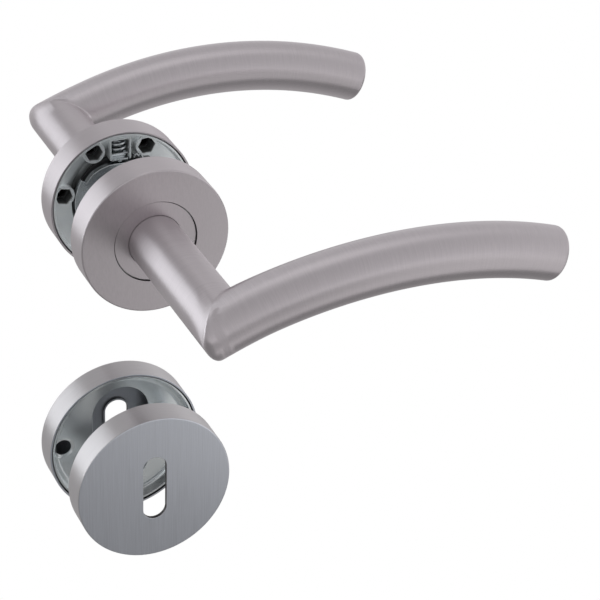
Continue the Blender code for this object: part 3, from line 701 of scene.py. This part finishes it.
def lever_line(side, around):
    """One line of points along the lever, with the length already run at each of them."""
    facing = math.cos(around)
    rounding = MITRE_ROUNDING
    rounding += MITRE_OUTER_ROUNDING * max(0.0, -facing) ** 6
    rounding += MITRE_INNER_ROUNDING * max(0.0, facing) ** 6
    mitre_depth = NECK_END - TUBE_RADIUS * facing
    mitre_run = TUBE_RADIUS * facing
    corner = neck_point(side, around, mitre_depth)
    misfit = corner - grip_point(side, around, mitre_run)

    line = []
    for row in range(NECK_ROWS):
        depth = NECK_START + (mitre_depth - rounding - NECK_START) * row / NECK_ROWS
        line.append((neck_point(side, around, depth), depth))

    def on_grip(run):
        ease = max(0.0, 1 - (run - mitre_run) / MITRE_EASE) ** 2
        return grip_point(side, around, run) + misfit * ease

    back = neck_point(side, around, mitre_depth - rounding) - corner
    ahead = on_grip(mitre_run + rounding) - corner
    for row in range(MITRE_ROWS + 1):
        angle = math.pi / 2 * row / MITRE_ROWS
        point = corner + back * (1 - math.sin(angle)) + ahead * (1 - math.cos(angle))
        run = mitre_depth + rounding * (2 * row / MITRE_ROWS - 1)
        line.append((point, run))

    first = mitre_run + rounding
    last = GRIP_LENGTH - END_ROUNDING
    for row in range(1, GRIP_ROWS + 1):
        run = first + (last - first) * row / GRIP_ROWS
        line.append((on_grip(run), NECK_END + run))
    for row in range(1, END_ROWS + 1):
        angle = math.pi / 2 * row / END_ROWS
        run = last + END_ROUNDING * math.sin(angle)
        inset = END_ROUNDING * (1 - math.cos(angle))
        line.append((grip_point(side, around, run, TUBE_RADIUS - inset), NECK_END + run + inset))
    for share in END_FACE_SHARES:
        radius = (TUBE_RADIUS - END_ROUNDING) * share
        run = NECK_END + GRIP_LENGTH + TUBE_RADIUS - radius
        line.append((grip_point(side, around, GRIP_LENGTH, radius), run))
    return line


def along_tube(side, run):
    """Direction along the lever's tube where a length has been run."""
    if run <= NECK_END:
        return Vector((0, side, 0))
    angle = GRIP_START_ANGLE - (run - NECK_END) / GRIP_ARC_RADIUS
    return Vector((math.cos(angle), 0, math.sin(angle)))


def make_lever(prefix, side):
    """Neck, mitre and bowed grip in one skin, with the socket for the hub inside the neck."""
    turns = [2 * math.pi * step / TUBE_STEPS for step in range(TUBE_STEPS)]
    lines = [lever_line(side, around) for around in turns]
    bore = TUBE_RADIUS - TUBE_WALL
    rings = []
    runs = []
    for depth in (HUB_END + 1 * MM, NECK_START):
        rings.append([neck_point(side, around, depth, bore) for around in turns])
        runs += [depth] * TUBE_STEPS
    for row in zip(*lines):
        rings.append([point for point, run in row])
        runs += [run for point, run in row]
    shape = bmesh.new()
    run_layer = shape.verts.layers.float.new("run")
    along_layer = shape.verts.layers.float_vector.new("along")
    skin(rings, shape=shape)
    for corner, run in zip(shape.verts, runs):
        corner[run_layer] = run
        corner[along_layer] = along_tube(side, run)
    lever = make_object(prefix + "_lever_handle", shape)
    hole = GRUB_RADIUS + CLEARANCE
    cut(lever, upright_rod(side, [(hole, -4 * MM), (hole, -TUBE_RADIUS - 1 * MM)]))
    nodes = [prefix + "_neck_tube", prefix + "_grip_tube", prefix + "_grip_end_cap"]
    finish_piece(lever, TUBE_STEEL, "satin_steel", prefix + "_lever", *nodes, sharp=50)


def make_grub(prefix, side):
    """Socket set screw under the neck."""
    tip = -SPINDLE_HALF_WIDTH - CLEARANCE
    end = -TUBE_RADIUS + CLEARANCE
    start = tip - 0.6 * MM
    profile = [(GRUB_RADIUS - 0.6 * MM, tip), (GRUB_RADIUS, start)]
    for turn in range(GRUB_THREADS):
        z = start + (end + 0.2 * MM - start) * (turn + 0.5) / GRUB_THREADS
        profile += [(GRUB_RADIUS, z + 0.1 * MM), (GRUB_RADIUS - 0.2 * MM, z), (GRUB_RADIUS, z - 0.1 * MM)]
    profile += [(GRUB_RADIUS, end + 0.3 * MM), (GRUB_RADIUS - 0.3 * MM, end)]
    grub = make_object(prefix + "_set_screw", upright_rod(side, profile))
    y = side * (DOOR_FACE + GRUB_DEPTH)
    key = hexagon(GRUB_KEY_FLATS, (0, y))
    cut(grub, skin([[Vector((*point, z)) for point in key] for z in (end + 2.7 * MM, end - 1 * MM)]))
    finish_piece(grub, DARK_STEEL, "dark_steel", prefix + "_lever", prefix + "_grub_screw")


# Rose


def make_rose_cover(prefix, side):
    hole = COLLAR_RADIUS + CLEARANCE
    inside = ROSE_RADIUS - COVER_WALL
    back = ROSE_DEPTH - COVER_WALL
    outline = [
        (inside, 0), (ROSE_RADIUS, 0), (ROSE_RADIUS, ROSE_DEPTH),
        (hole, ROSE_DEPTH), (hole, back), (inside, back),
    ]
    radii = [RIM_EDGE, RIM_EDGE, COVER_EDGE, 0.12 * MM, 0.12 * MM, 0.4 * MM]
    cover = make_object(prefix + "_rose_shell", turn_tube(side, soften(outline, radii)))
    finish_piece(cover, ROSE_STEEL, "satin_steel", prefix + "_side", prefix + "_rose_cover")


def make_collar(prefix, side):
    inner = TUBE_RADIUS + 0.12 * MM
    face = ROSE_DEPTH - COLLAR_SINK
    outline = [(inner, COLLAR_FACE), (COLLAR_RADIUS, COLLAR_FACE), (COLLAR_RADIUS, face), (inner, face)]
    collar = make_object(prefix + "_neck_collar", turn_tube(side, soften(outline, FINE_EDGE)))
    finish_piece(collar, COLLAR_STEEL, "satin_steel", prefix + "_lever", prefix + "_collar_ring")


def dish_hollow(side, turn):
    """Hollow beside the channel whose floor curves up to the casting's flat."""
    inner = CHANNEL_RADIUS - 1 * MM
    profile = [(inner, 0), (DISH_RADIUS, 0)]
    for row in range(DISH_STEPS + 1):
        share = row / DISH_STEPS
        radius = DISH_RADIUS - (DISH_RADIUS - CHANNEL_RADIUS) * share
        sink = share * (1 + DISH_CURVE * share) / (1 + DISH_CURVE)
        profile.append((radius, BASE_FLOOR + (DISH_DEPTH - BASE_FLOOR) * sink))
    profile.append((inner, DISH_DEPTH))
    rings = []
    start, end = DISH_ANGLES
    for step in range(DISH_SECTOR_STEPS + 1):
        angle = turn + start + (end - start) * step / DISH_SECTOR_STEPS
        points = [(depth, *polar(radius, angle)) for radius, depth in profile]
        rings.append([place(side, x, depth, z) for depth, x, z in points])
    return skin(rings)


def oblong(half, low, high):
    return [(half, low), (half, high), (-half, high), (-half, low)]


def make_base(prefix, side):
    """Die casting under the rose cover: rim, channel, hex bosses and spring pockets."""
    rim = BASE_RADIUS - BASE_RIM_WALL
    outline = [
        (BASE_RADIUS, BASE_RIM), (BASE_RADIUS, BASE_BACK), (BASE_BORE, BASE_BACK),
        (BASE_BORE, BASE_FLOOR), (rim, BASE_FLOOR), (rim, BASE_RIM),
    ]
    radii = [FINE_EDGE, 0.3 * MM, 0.3 * MM, 0, 0.9 * MM, FINE_EDGE]
    base = make_object(prefix + "_rose_casting", turn_tube(side, soften(outline, radii)))
    inner = BASE_BORE - CLEARANCE
    channel = [(inner, 0), (CHANNEL_RADIUS, 0), (CHANNEL_RADIUS, CHANNEL_DEPTH), (inner, CHANNEL_DEPTH)]
    cut(base, turn_tube(side, channel))
    for turn in (0, math.pi):
        cut(base, dish_hollow(side, turn))

    boss = [(BOSS_RADIUS - 0.1 * MM, BOSS_TOP), (BOSS_RADIUS, BOSS_TOP + 0.2 * MM)]
    boss += [(BOSS_RADIUS, BOSS_ROOT)]
    join(base, turn_rods(side, boss, centres=BOSS_CENTRES))
    half = POCKET_HALF_WIDTH + POCKET_WALL
    end = POCKET_TOP + POCKET_WALL
    ends = ((POCKET_BOTTOM, end), (-end, -POCKET_BOTTOM))
    walls = [soften(oblong(half, low, high), 0.5 * MM) for low, high in ends]
    join(base, extrude(side, BOSS_TOP, BOSS_ROOT, *walls))

    sockets = [hexagon(HEX_SOCKET_FLATS, *turned) for turned in zip(BOSS_CENTRES, BOSS_ANGLES)]
    sockets = [soften(outline, 0.35 * MM, 3) for outline in sockets]
    cut(base, extrude(side, 0, HEX_SOCKET_DEPTH, *sockets))
    ends = ((BASE_BORE, POCKET_TOP), (-POCKET_TOP, -BASE_BORE))
    pockets = [soften(oblong(POCKET_HALF_WIDTH, low, high), 0.3 * MM, 3) for low, high in ends]
    cut(base, extrude(side, 0, POCKET_DEPTH, *pockets))
    hole = [(BOLT_HOLE_RADIUS, 0), (BOLT_HOLE_RADIUS, BOLT_HEAD_SEAT)]
    hole += [(BOLT_HEAD_BORE, BOLT_HEAD_SEAT), (BOLT_HEAD_BORE, ROSE_DEPTH)]
    cut(base, turn_rods(side, hole, centres=BOSS_CENTRES))
    bevel(base, 0.18 * MM, 2)
    finish_piece(base, CASTING_ZINC, "zinc", prefix + "_side", prefix + "_mounting_base")


def make_bush(prefix, side):
    bore = TUBE_RADIUS + CLEARANCE
    body = BASE_BORE - CLEARANCE
    step = CHANNEL_DEPTH - CLEARANCE
    outline = [
        (bore, BUSH_FLANGE_FACE), (BUSH_FLANGE_RADIUS, BUSH_FLANGE_FACE), (BUSH_FLANGE_RADIUS, step),
        (body, step), (body, BASE_BACK), (bore, BASE_BACK),
    ]
    profile = soften(outline, [radius * MM for radius in (0.3, 0.25, 0.25, 0.1, 0.3, 0.3)], 4)
    bush = make_object(prefix + "_neck_bush", turn_tube(side, profile, TUBE_STEPS))
    finish_piece(bush, NYLON, "nylon", prefix + "_side", prefix + "_bearing_bush")


def sweep(points, radius):
    """A round wire along a line of points, with closed ends."""
    points = [Vector(point) for point in points]
    tangents = []
    for index in range(len(points)):
        before = points[max(index - 1, 0)]
        after = points[min(index + 1, len(points) - 1)]
        tangents.append((after - before).normalized())
    across = tangents[0].orthogonal().normalized()
    rings = []
    for point, tangent in zip(points, tangents):
        across = (across - tangent * across.dot(tangent)).normalized()
        other = tangent.cross(across)
        rings.append([point + across * x + other * z for x, z in spokes(radius, WIRE_SIDES)])
    return skin(rings)


def make_clip(prefix, side):
    """Small bent wire beside the upper pocket."""
    bends = [(x * MM, z * MM) for x, z in CLIP_BENDS]
    knee = CLIP_DEPTH + 0.4 * MM
    start, *middle, end = soften(bends, 0.35 * MM, 6, closed=False)
    route = [(start, CLIP_FOOT), (start, knee)]
    route += [(bend, CLIP_DEPTH) for bend in middle]
    route += [(end, knee), (end, CLIP_FOOT)]
    points = [place(side, x, depth, z) for (x, z), depth in route]
    clip = make_object(prefix + "_bent_wire", sweep(points, CLIP_WIRE))
    finish_piece(clip, BRIGHT_STEEL, "bright_steel", prefix + "_side", prefix + "_wire_clip")


def make_plunger(prefix, side, up):
    label = prefix + ("_upper" if up > 0 else "_lower")
    half = PLUNGER_HALF_WIDTH
    nose = PLUNGER_NOSE_HALF_WIDTH
    outline = [
        (-nose, PLUNGER_NOSE), (nose, PLUNGER_NOSE), (nose, PLUNGER_SHOULDER),
        (half, PLUNGER_SHOULDER), (half, PLUNGER_TOP), (-half, PLUNGER_TOP),
        (-half, PLUNGER_SHOULDER), (-nose, PLUNGER_SHOULDER),
    ]
    radii = [radius * MM for radius in (0.45, 0.45, 0.2, 0.3, 0.3, 0.3, 0.3, 0.2)]
    points = [(x, up * z) for x, z in soften(outline, radii, 4)]
    plunger = make_object(label + "_cam_follower", extrude(side, PLUNGER_FACE, PLUNGER_BACK, points))
    low, high = PLUNGER_GROOVE
    groove = oblong(half + 1 * MM, up * low, up * high)
    cut(plunger, extrude(side, PLUNGER_FACE - 1 * MM, PLUNGER_FACE + PLUNGER_GROOVE_DEPTH, groove))
    bevel(plunger, 0.2 * MM)
    finish_piece(plunger, ROTOR_ZINC, "bright_steel", label + "_plunger", label + "_plunger")


def make_spring(prefix, side, up):
    """Coil spring with closed end turns."""
    label = prefix + ("_upper" if up > 0 else "_lower")
    low = PLUNGER_TOP + CLEARANCE + SPRING_WIRE
    high = POCKET_TOP - CLEARANCE - SPRING_WIRE
    turns = SPRING_TURNS + 2 * SPRING_END_TURN
    steps = int(SPRING_STEPS_A_TURN * turns)
    points = []
    for step in range(steps + 1):
        turn = turns * step / steps
        share = min(max((turn - SPRING_END_TURN) / SPRING_TURNS, 0.0), 1.0)
        x, y = polar(SPRING_RADIUS, 2 * math.pi * turn)
        height = low + (high - low) * share
        points.append((x, side * (DOOR_FACE + SPRING_DEPTH) + y, up * height))
    spring = make_object(label + "_coil_spring", sweep(points, SPRING_WIRE))
    finish_piece(spring, BRIGHT_STEEL, "bright_steel", prefix + "_side", label + "_spring")
    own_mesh(spring)


# Hub and rotor


def make_hub(prefix, side):
    """Steel core in the neck: square end, groove and square hole for the spindle."""
    edge = 0.5 * MM
    profile = [(HUB_RADIUS - edge, HUB_SHOULDER), (HUB_RADIUS, HUB_SHOULDER + edge)]
    profile += [(HUB_RADIUS, HUB_END - edge), (HUB_RADIUS - edge, HUB_END)]
    hub = make_object(prefix + "_hub_core", turn_rods(side, profile, HUB_STEPS))
    join(hub, extrude(side, HUB_SQUARE_END, HUB_SHOULDER + 1 * MM, soften(square(HUB_SQUARE), edge, 4)))
    start = RING_FACE - CLEARANCE / 3
    end = RING_BACK + CLEARANCE / 2
    groove = [(GROOVE_RADIUS, start), (RING_RADIUS, start), (RING_RADIUS, end), (GROOVE_RADIUS, end)]
    cut(hub, turn_tube(side, groove, HUB_STEPS))
    bore = square(2 * (SPINDLE_HALF_WIDTH + CLEARANCE))
    cut(hub, extrude(side, 0, HUB_END + 1 * MM, soften(bore, 0.3 * MM, 3)))
    hole = GRUB_RADIUS + CLEARANCE
    cut(hub, upright_rod(side, [(hole, -3 * MM), (hole, -TUBE_RADIUS)]))
    bevel(hub, 0.12 * MM, 2)
    finish_piece(hub, DARK_STEEL, "dark_steel", prefix + "_lever", prefix + "_spindle_hub")


def rotor_outline():
    """Cam notches at the top and bottom, each rising both ways, and a lug on each side."""
    points = []
    edge = 90 - LUG_HALF_ANGLE
    for centre in (90, 270):
        for step in range(-CAM_STEPS, CAM_STEPS + 1):
            offset = edge * step / CAM_STEPS
            rise = CAM_RISE_PER_RADIAN * math.radians(abs(offset))
            points.append(polar(min(CAM_REST_RADIUS + rise, CAM_TOP_RADIUS), math.radians(centre + offset)))
        for offset in range(-LUG_HALF_ANGLE, LUG_HALF_ANGLE + 1, 4):
            points.append(polar(LUG_RADIUS, math.radians(centre + 90 + offset)))
    return points


def make_rotor(prefix, side):
    rotor = make_object(prefix + "_cam_plate", extrude(side, ROTOR_FACE, ROTOR_BACK, rotor_outline()))
    bore = soften(square(HUB_SQUARE + 2 * CLEARANCE), 0.4 * MM, 3)
    cut(rotor, extrude(side, 0, ROTOR_BACK + 1 * MM, bore))
    inner, outer = ROTOR_GROOVE
    floor = ROTOR_FACE + ROTOR_GROOVE_DEPTH
    cut(rotor, turn_tube(side, [(inner, 0), (outer, 0), (outer, floor), (inner, floor)], TUBE_STEPS))
    bevel(rotor, 0.22 * MM)
    finish_piece(rotor, ROTOR_ZINC, "zinc", prefix + "_lever", prefix + "_rotor")


def make_retaining_ring(prefix, side):
    outline = []
    out = range(RING_STEPS + 1)
    for radius, order in ((RING_RADIUS, out), (GROOVE_RADIUS + CLEARANCE, reversed(out))):
        for step in order:
            angle = RING_OPENING + (2 * math.pi - 2 * RING_OPENING) * step / RING_STEPS
            outline.append(polar(radius, math.pi / 2 + angle))
    ring = make_object(prefix + "_snap_ring", extrude(side, RING_FACE, RING_BACK, outline))
    bevel(ring, 0.12 * MM, 2)
    finish_piece(ring, DARK_STEEL, "dark_steel", prefix + "_lever", prefix + "_retaining_ring")


# Spindle and fixings


def make_spindle():
    start, end = depths("spindle")
    outline = soften(square(2 * SPINDLE_HALF_WIDTH), 0.4 * MM, 4)
    small = [(x * SPINDLE_TAPER, z * SPINDLE_TAPER) for x, z in outline]
    taper = 0.7 * MM
    rows = [(start, small), (start + taper, outline), (end - taper, outline), (end, small)]
    rings = [[place(1, x, depth, z) for x, z in points] for depth, points in rows]
    spindle = make_object("spindle_bar", skin(rings))
    finish_piece(spindle, DARK_STEEL, "dark_steel", "front_lever", "spindle", sharp=30)


def bolt_profile(start, end, radius, head_radius):
    """Cheese head, plain shank and a thread as (radius, depth) points."""
    seat = start + BOLT_HEAD_THICKNESS
    thread = end - THREAD_LENGTH
    root = radius - THREAD_DEPTH
    profile = [(head_radius - 0.5 * MM, start), (head_radius, start + 0.5 * MM)]
    profile += [(head_radius, seat - FINE_EDGE), (head_radius - FINE_EDGE, seat)]
    profile += [(radius + 0.2 * MM, seat), (radius, seat + 0.2 * MM), (radius, thread)]
    for turn in range(int((THREAD_LENGTH - 0.4 * MM) / THREAD_PITCH)):
        for level, share in ((root, 0.35), (root, 0.5), (radius, 0.85)):
            profile.append((level, thread + THREAD_PITCH * (turn + share)))
    profile.append((radius - 0.4 * MM, end))
    return profile


def make_bolt(node, name, radius, head_radius):
    start, end = depths(node)
    middle = sum(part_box(node), Vector()) / 2
    profile = bolt_profile(start, end, radius, head_radius)
    bolt = make_object(name, turn_rods(1, profile, centres=[(middle.x, middle.z)]))
    slot = oblong(head_radius + 1 * MM, -DRIVER_SLOT / 2, DRIVER_SLOT / 2)
    slot = [(middle.x + x, middle.z + z) for x, z in slot]
    cut(bolt, extrude(1, start - 1 * MM, start + BOLT_HEAD_THICKNESS / 2, slot))
    finish_piece(bolt, BRIGHT_STEEL, "bright_steel", "front_side", node)


def make_rose_sleeve(number, angle):
    """Threaded sleeve whose hex head sits in the back base's socket."""
    node = f"rose_sleeve_{number}"
    start, end = depths(node)
    centre = polar(BOSS_PITCH_RADIUS, angle)
    outline = soften(hexagon(SLEEVE_HEX_FLATS, centre, angle), 0.2 * MM, 3)
    sleeve = make_object(f"rose_threaded_sleeve_{number}", extrude(1, BASE_FLOOR, end, outline))
    body = [(SLEEVE_RADIUS, start), (SLEEVE_RADIUS, BASE_FLOOR + 1 * MM)]
    join(sleeve, turn_rods(1, body, centres=[centre]))
    bore = BOLT_RADIUS + CLEARANCE
    cut(sleeve, turn_rods(1, [(bore, start - 1 * MM), (bore, end + 1 * MM)], centres=[centre]))
    bevel(sleeve, FINE_EDGE, 2)
    finish_piece(sleeve, BRIGHT_STEEL, "bright_steel", "back_side", node)


def make_escutcheon_sleeve():
    start, end = depths("escutcheon_sleeve")
    bore = SMALL_BOLT_RADIUS + CLEARANCE
    flange = end - BOLT_HEAD_THICKNESS
    outline = [
        (bore, start), (SMALL_SLEEVE_RADIUS, start), (SMALL_SLEEVE_RADIUS, flange),
        (WIDE_HEAD_RADIUS, flange), (WIDE_HEAD_RADIUS, end), (bore, end),
    ]
    profile = soften(outline, [0.1 * MM, FINE_EDGE, 0, FINE_EDGE, 0.4 * MM, FINE_EDGE], 4)
    tube = turn_tube(1, profile, SMALL_STEPS, (PLATE_HOLE_OFFSET, ESCUTCHEON_Z))
    sleeve = make_object("escutcheon_flanged_sleeve", tube)
    finish_piece(sleeve, BRIGHT_STEEL, "bright_steel", "back_side", "escutcheon_sleeve")


# Escutcheons


def dish(side, outside, inside, inner_width, inner_height):
    """Skin from a turned outline to a slot in the middle and back round to the start.

    outside holds (radius, depth) points, inside holds (growth, depth) points, where growth
    widens the slot all round.
    """
    centre = (0, ESCUTCHEON_Z)
    rings = [circle(side, radius, depth, TURNED_STEPS, centre) for radius, depth in outside]
    for growth, depth in inside:
        slot = obround(inner_width + 2 * growth, inner_height + 2 * growth, TURNED_STEPS)
        rings.append([place(side, x, depth, ESCUTCHEON_Z + z) for x, z in slot])
    return skin(rings, loop=True)


def make_escutcheon_cover(prefix, side):
    radius = ESCUTCHEON_RADIUS
    depth = ESCUTCHEON_DEPTH
    back = depth - COVER_WALL
    middle = radius / 2
    outline = [
        (middle, back), (radius - COVER_WALL, back), (radius - COVER_WALL, 0),
        (radius, 0), (radius, depth), (middle, depth),
    ]
    rounding = [0, 0.4 * MM, RIM_EDGE, RIM_EDGE, COVER_EDGE, 0]
    outside = soften(outline, rounding, closed=False)[1:-1]
    inside = []
    for step in range(CORNER_STEPS + 1):
        angle = math.pi / 2 * step / CORNER_STEPS
        inside.append((KEYHOLE_LIP * (1 - math.sin(angle)), depth - KEYHOLE_LIP * (1 - math.cos(angle))))
    low = depth - KEYHOLE_DEPTH
    inside += [(0, low + 0.1 * MM), (0.1 * MM, low), (KEYHOLE_RIM, low), (KEYHOLE_RIM, back)]
    shell = dish(side, outside, inside, KEYHOLE_WIDTH, KEYHOLE_HEIGHT)
    cover = make_object(prefix + "_escutcheon_shell", shell)
    finish_piece(cover, ESCUTCHEON_STEEL, "cool_steel", prefix + "_side", prefix + "_escutcheon_cover")


def make_escutcheon_base(prefix, side):
    """Pressed dish with a round-ended opening and a dimpled screw hole on each side."""
    back = PLATE_BACK
    floor = back - PLATE_THICKNESS
    foot = PLATE_RADIUS - PLATE_WALL_RUN
    lip = PLATE_THICKNESS * 0.8
    middle = PLATE_RADIUS / 2
    outline = [
        (middle, floor), (foot - lip, floor), (PLATE_RADIUS - lip, PLATE_RIM),
        (PLATE_RADIUS, PLATE_RIM), (foot, back), (middle, back),
    ]
    outside = soften(outline, [0, 2.2 * MM, FINE_EDGE, FINE_EDGE, 2.6 * MM, 0], 7, closed=False)[1:-1]
    edge = 0.2 * MM
    inside = [(edge, back), (edge * 0.3, back - edge * 0.3), (0, back - edge)]
    inside += [(0, floor + edge), (edge * 0.3, floor + edge * 0.3), (edge, floor)]
    shape = dish(side, outside, inside, PLATE_OPENING_WIDTH, PLATE_OPENING_HEIGHT)
    plate = make_object(prefix + "_escutcheon_pressing", shape)
    profile = [(DIMPLE_RADIUS, floor - 0.6 * MM)]
    for step in range(DIMPLE_STEPS + 1):
        share = step / DIMPLE_STEPS
        radius = DIMPLE_RADIUS + (PLATE_HOLE_RADIUS - DIMPLE_RADIUS) * share
        sink = DIMPLE_DEPTH * (1 - math.cos(math.pi * share)) / 2
        profile.append((radius, floor - 0.02 * MM + sink))
    profile.append((PLATE_HOLE_RADIUS, back + 1 * MM))
    centres = [(-PLATE_HOLE_OFFSET, ESCUTCHEON_Z), (PLATE_HOLE_OFFSET, ESCUTCHEON_Z)]
    cut(plate, turn_rods(side, profile, DIMPLE_SIDES, centres))
    finish_piece(plate, PLATE_ZINC, "zinc", prefix + "_side", prefix + "_escutcheon_base", sharp=45)


# Stage, light and camera

FLOOR_HALF_WIDTH = 4.0
FLOOR_HEIGHT = -0.32
COOL_LIGHT = (0.92, 0.98, 1.0)

# Brightness of the studio from straight below (0) to straight above (1)
STUDIO_LEVELS = [(0.0, 0.42), (0.42, 0.62), (0.52, 0.85), (0.62, 0.62), (1.0, 0.50)]

CAMERA_PLACE = (-0.22385, -0.62099, 0.33461)
CAMERA_AZIMUTH = math.radians(-24.92)
CAMERA_ELEVATION = math.radians(29.1)
CAMERA_ROLL = math.radians(2.29)
CAMERA_LENS = 127.8
CAMERA_SENSOR = 36.0


def make_world():
    """White to the eye, and a soft grey studio to whatever reflects it."""
    world = bpy.data.worlds.new("studio")
    world.use_nodes = True
    bpy.context.scene.world = world
    nodes = world.node_tree.nodes
    white = nodes["Background"]
    set_inputs(world, white, {"Color": (1, 1, 1, 1), "Strength": 1.0})
    parts = split(world, position(world, "Generated"))
    heights = add_node(world, "ValToRGB", {"Fac": spread(world, parts["Z"], 0.0, 1.0, -1.0, 1.0)})
    ramp = heights.color_ramp
    while len(ramp.elements) < len(STUDIO_LEVELS):
        ramp.elements.new(0.5)
    for element, (height, level) in zip(ramp.elements, STUDIO_LEVELS):
        element.position = height
        element.color = (level, level, level * 1.01, 1)
    sideways = spread(world, parts["X"], 0.75, 1.25, -1.0, 1.0)
    studio = add_node(world, "Background", {"Color": heights.outputs["Color"], "Strength": sideways})
    seen = add_node(world, "LightPath").outputs["Is Camera Ray"]
    shaders = {"Fac": seen, 1: studio.outputs["Background"], 2: white.outputs["Background"]}
    mixing = add_node(world, "MixShader", shaders)
    set_inputs(world, nodes["World Output"], {"Surface": mixing.outputs["Shader"]})


def make_floor():
    """Pale floor well below the handles, which reads as plain white to the eye."""
    shape = bmesh.new()
    corners = square(2 * FLOOR_HALF_WIDTH)
    shape.faces.new([shape.verts.new((x, y, FLOOR_HEIGHT)) for x, y in corners])
    floor = make_object("studio_floor", shape)
    finish = bpy.data.materials.new("pale_floor")
    finish.use_nodes = True
    nodes = finish.node_tree.nodes
    nodes.remove(nodes["Principled BSDF"])
    backwards = spread(finish, split(finish, position(finish))["Y"], 0.28, 0.52, -0.1, 0.2)
    seen = add_node(finish, "LightPath").outputs["Is Camera Ray"]
    glow = add_node(finish, "Emission", {"Strength": mix(finish, "FLOAT", seen, backwards, 1.0)})
    set_inputs(finish, nodes["Material Output"], {"Surface": glow.outputs["Emission"]})
    floor.data.materials.append(finish)


def add_panel(name, location, width, height, power, colour=(1, 1, 1)):
    """A soft rectangular lamp that faces the origin and that the camera doesn't see."""
    lamp = bpy.data.lights.new(name, "AREA")
    lamp.shape = "RECTANGLE"
    lamp.size = width
    lamp.size_y = height
    lamp.energy = power
    lamp.color = colour
    item = bpy.data.objects.new(name, lamp)
    item.location = location
    item.rotation_euler = (-Vector(location)).to_track_quat("-Z", "Y").to_euler()
    item.visible_camera = False
    bpy.context.scene.collection.objects.link(item)


def make_lights():
    add_panel("left_panel", (-0.88, 0.50, 0.26), 0.9, 1.1, 4.4, COOL_LIGHT)
    add_panel("top_panel", (0.1, 0.1, 0.9), 0.6, 0.4, 0.4)
    add_panel("right_panel", (0.27, -0.30, -0.17), 0.3, 0.35, 0.21)


def make_camera():
    across, towards = polar(1, CAMERA_AZIMUTH)
    level, lift = polar(1, CAMERA_ELEVATION)
    back = Vector((towards * level, -across * level, lift))
    right = Vector((across, towards, 0))
    up = back.cross(right)
    rolled_right = right * math.cos(CAMERA_ROLL) + up * math.sin(CAMERA_ROLL)
    rolled_up = up * math.cos(CAMERA_ROLL) - right * math.sin(CAMERA_ROLL)
    turn = Matrix((rolled_right, rolled_up, back)).transposed().to_4x4()
    lens = bpy.data.cameras.new("camera")
    lens.lens = CAMERA_LENS
    lens.sensor_width = CAMERA_SENSOR
    lens.clip_start = 0.01
    camera = bpy.data.objects.new("camera", lens)
    camera.matrix_world = Matrix.Translation(CAMERA_PLACE) @ turn
    bpy.context.scene.collection.objects.link(camera)
    bpy.context.scene.camera = camera


def make_side(prefix, side):
    for make in (make_lever, make_grub, make_collar, make_hub, make_rotor, make_retaining_ring):
        make(prefix, side)
    for make in (make_rose_cover, make_base, make_bush, make_clip):
        make(prefix, side)
    for up in (1, -1):
        make_plunger(prefix, side, up)
        make_spring(prefix, side, up)
    make_escutcheon_cover(prefix, side)
    make_escutcheon_base(prefix, side)


make_camera()
make_world()
make_floor()
make_lights()
bpy.context.scene.view_settings.view_transform = "Standard"
for prefix, side in SIDES.items():
    make_side(prefix, side)
make_spindle()
for number, angle in enumerate(ROSE_BOLT_ANGLES, 1):
    make_bolt(f"rose_bolt_{number}", f"rose_through_bolt_{number}", BOLT_RADIUS, BOLT_HEAD_RADIUS)
    make_rose_sleeve(number, angle)
make_bolt("escutcheon_bolt", "escutcheon_through_bolt", SMALL_BOLT_RADIUS, WIDE_HEAD_RADIUS)
make_escutcheon_sleeve()
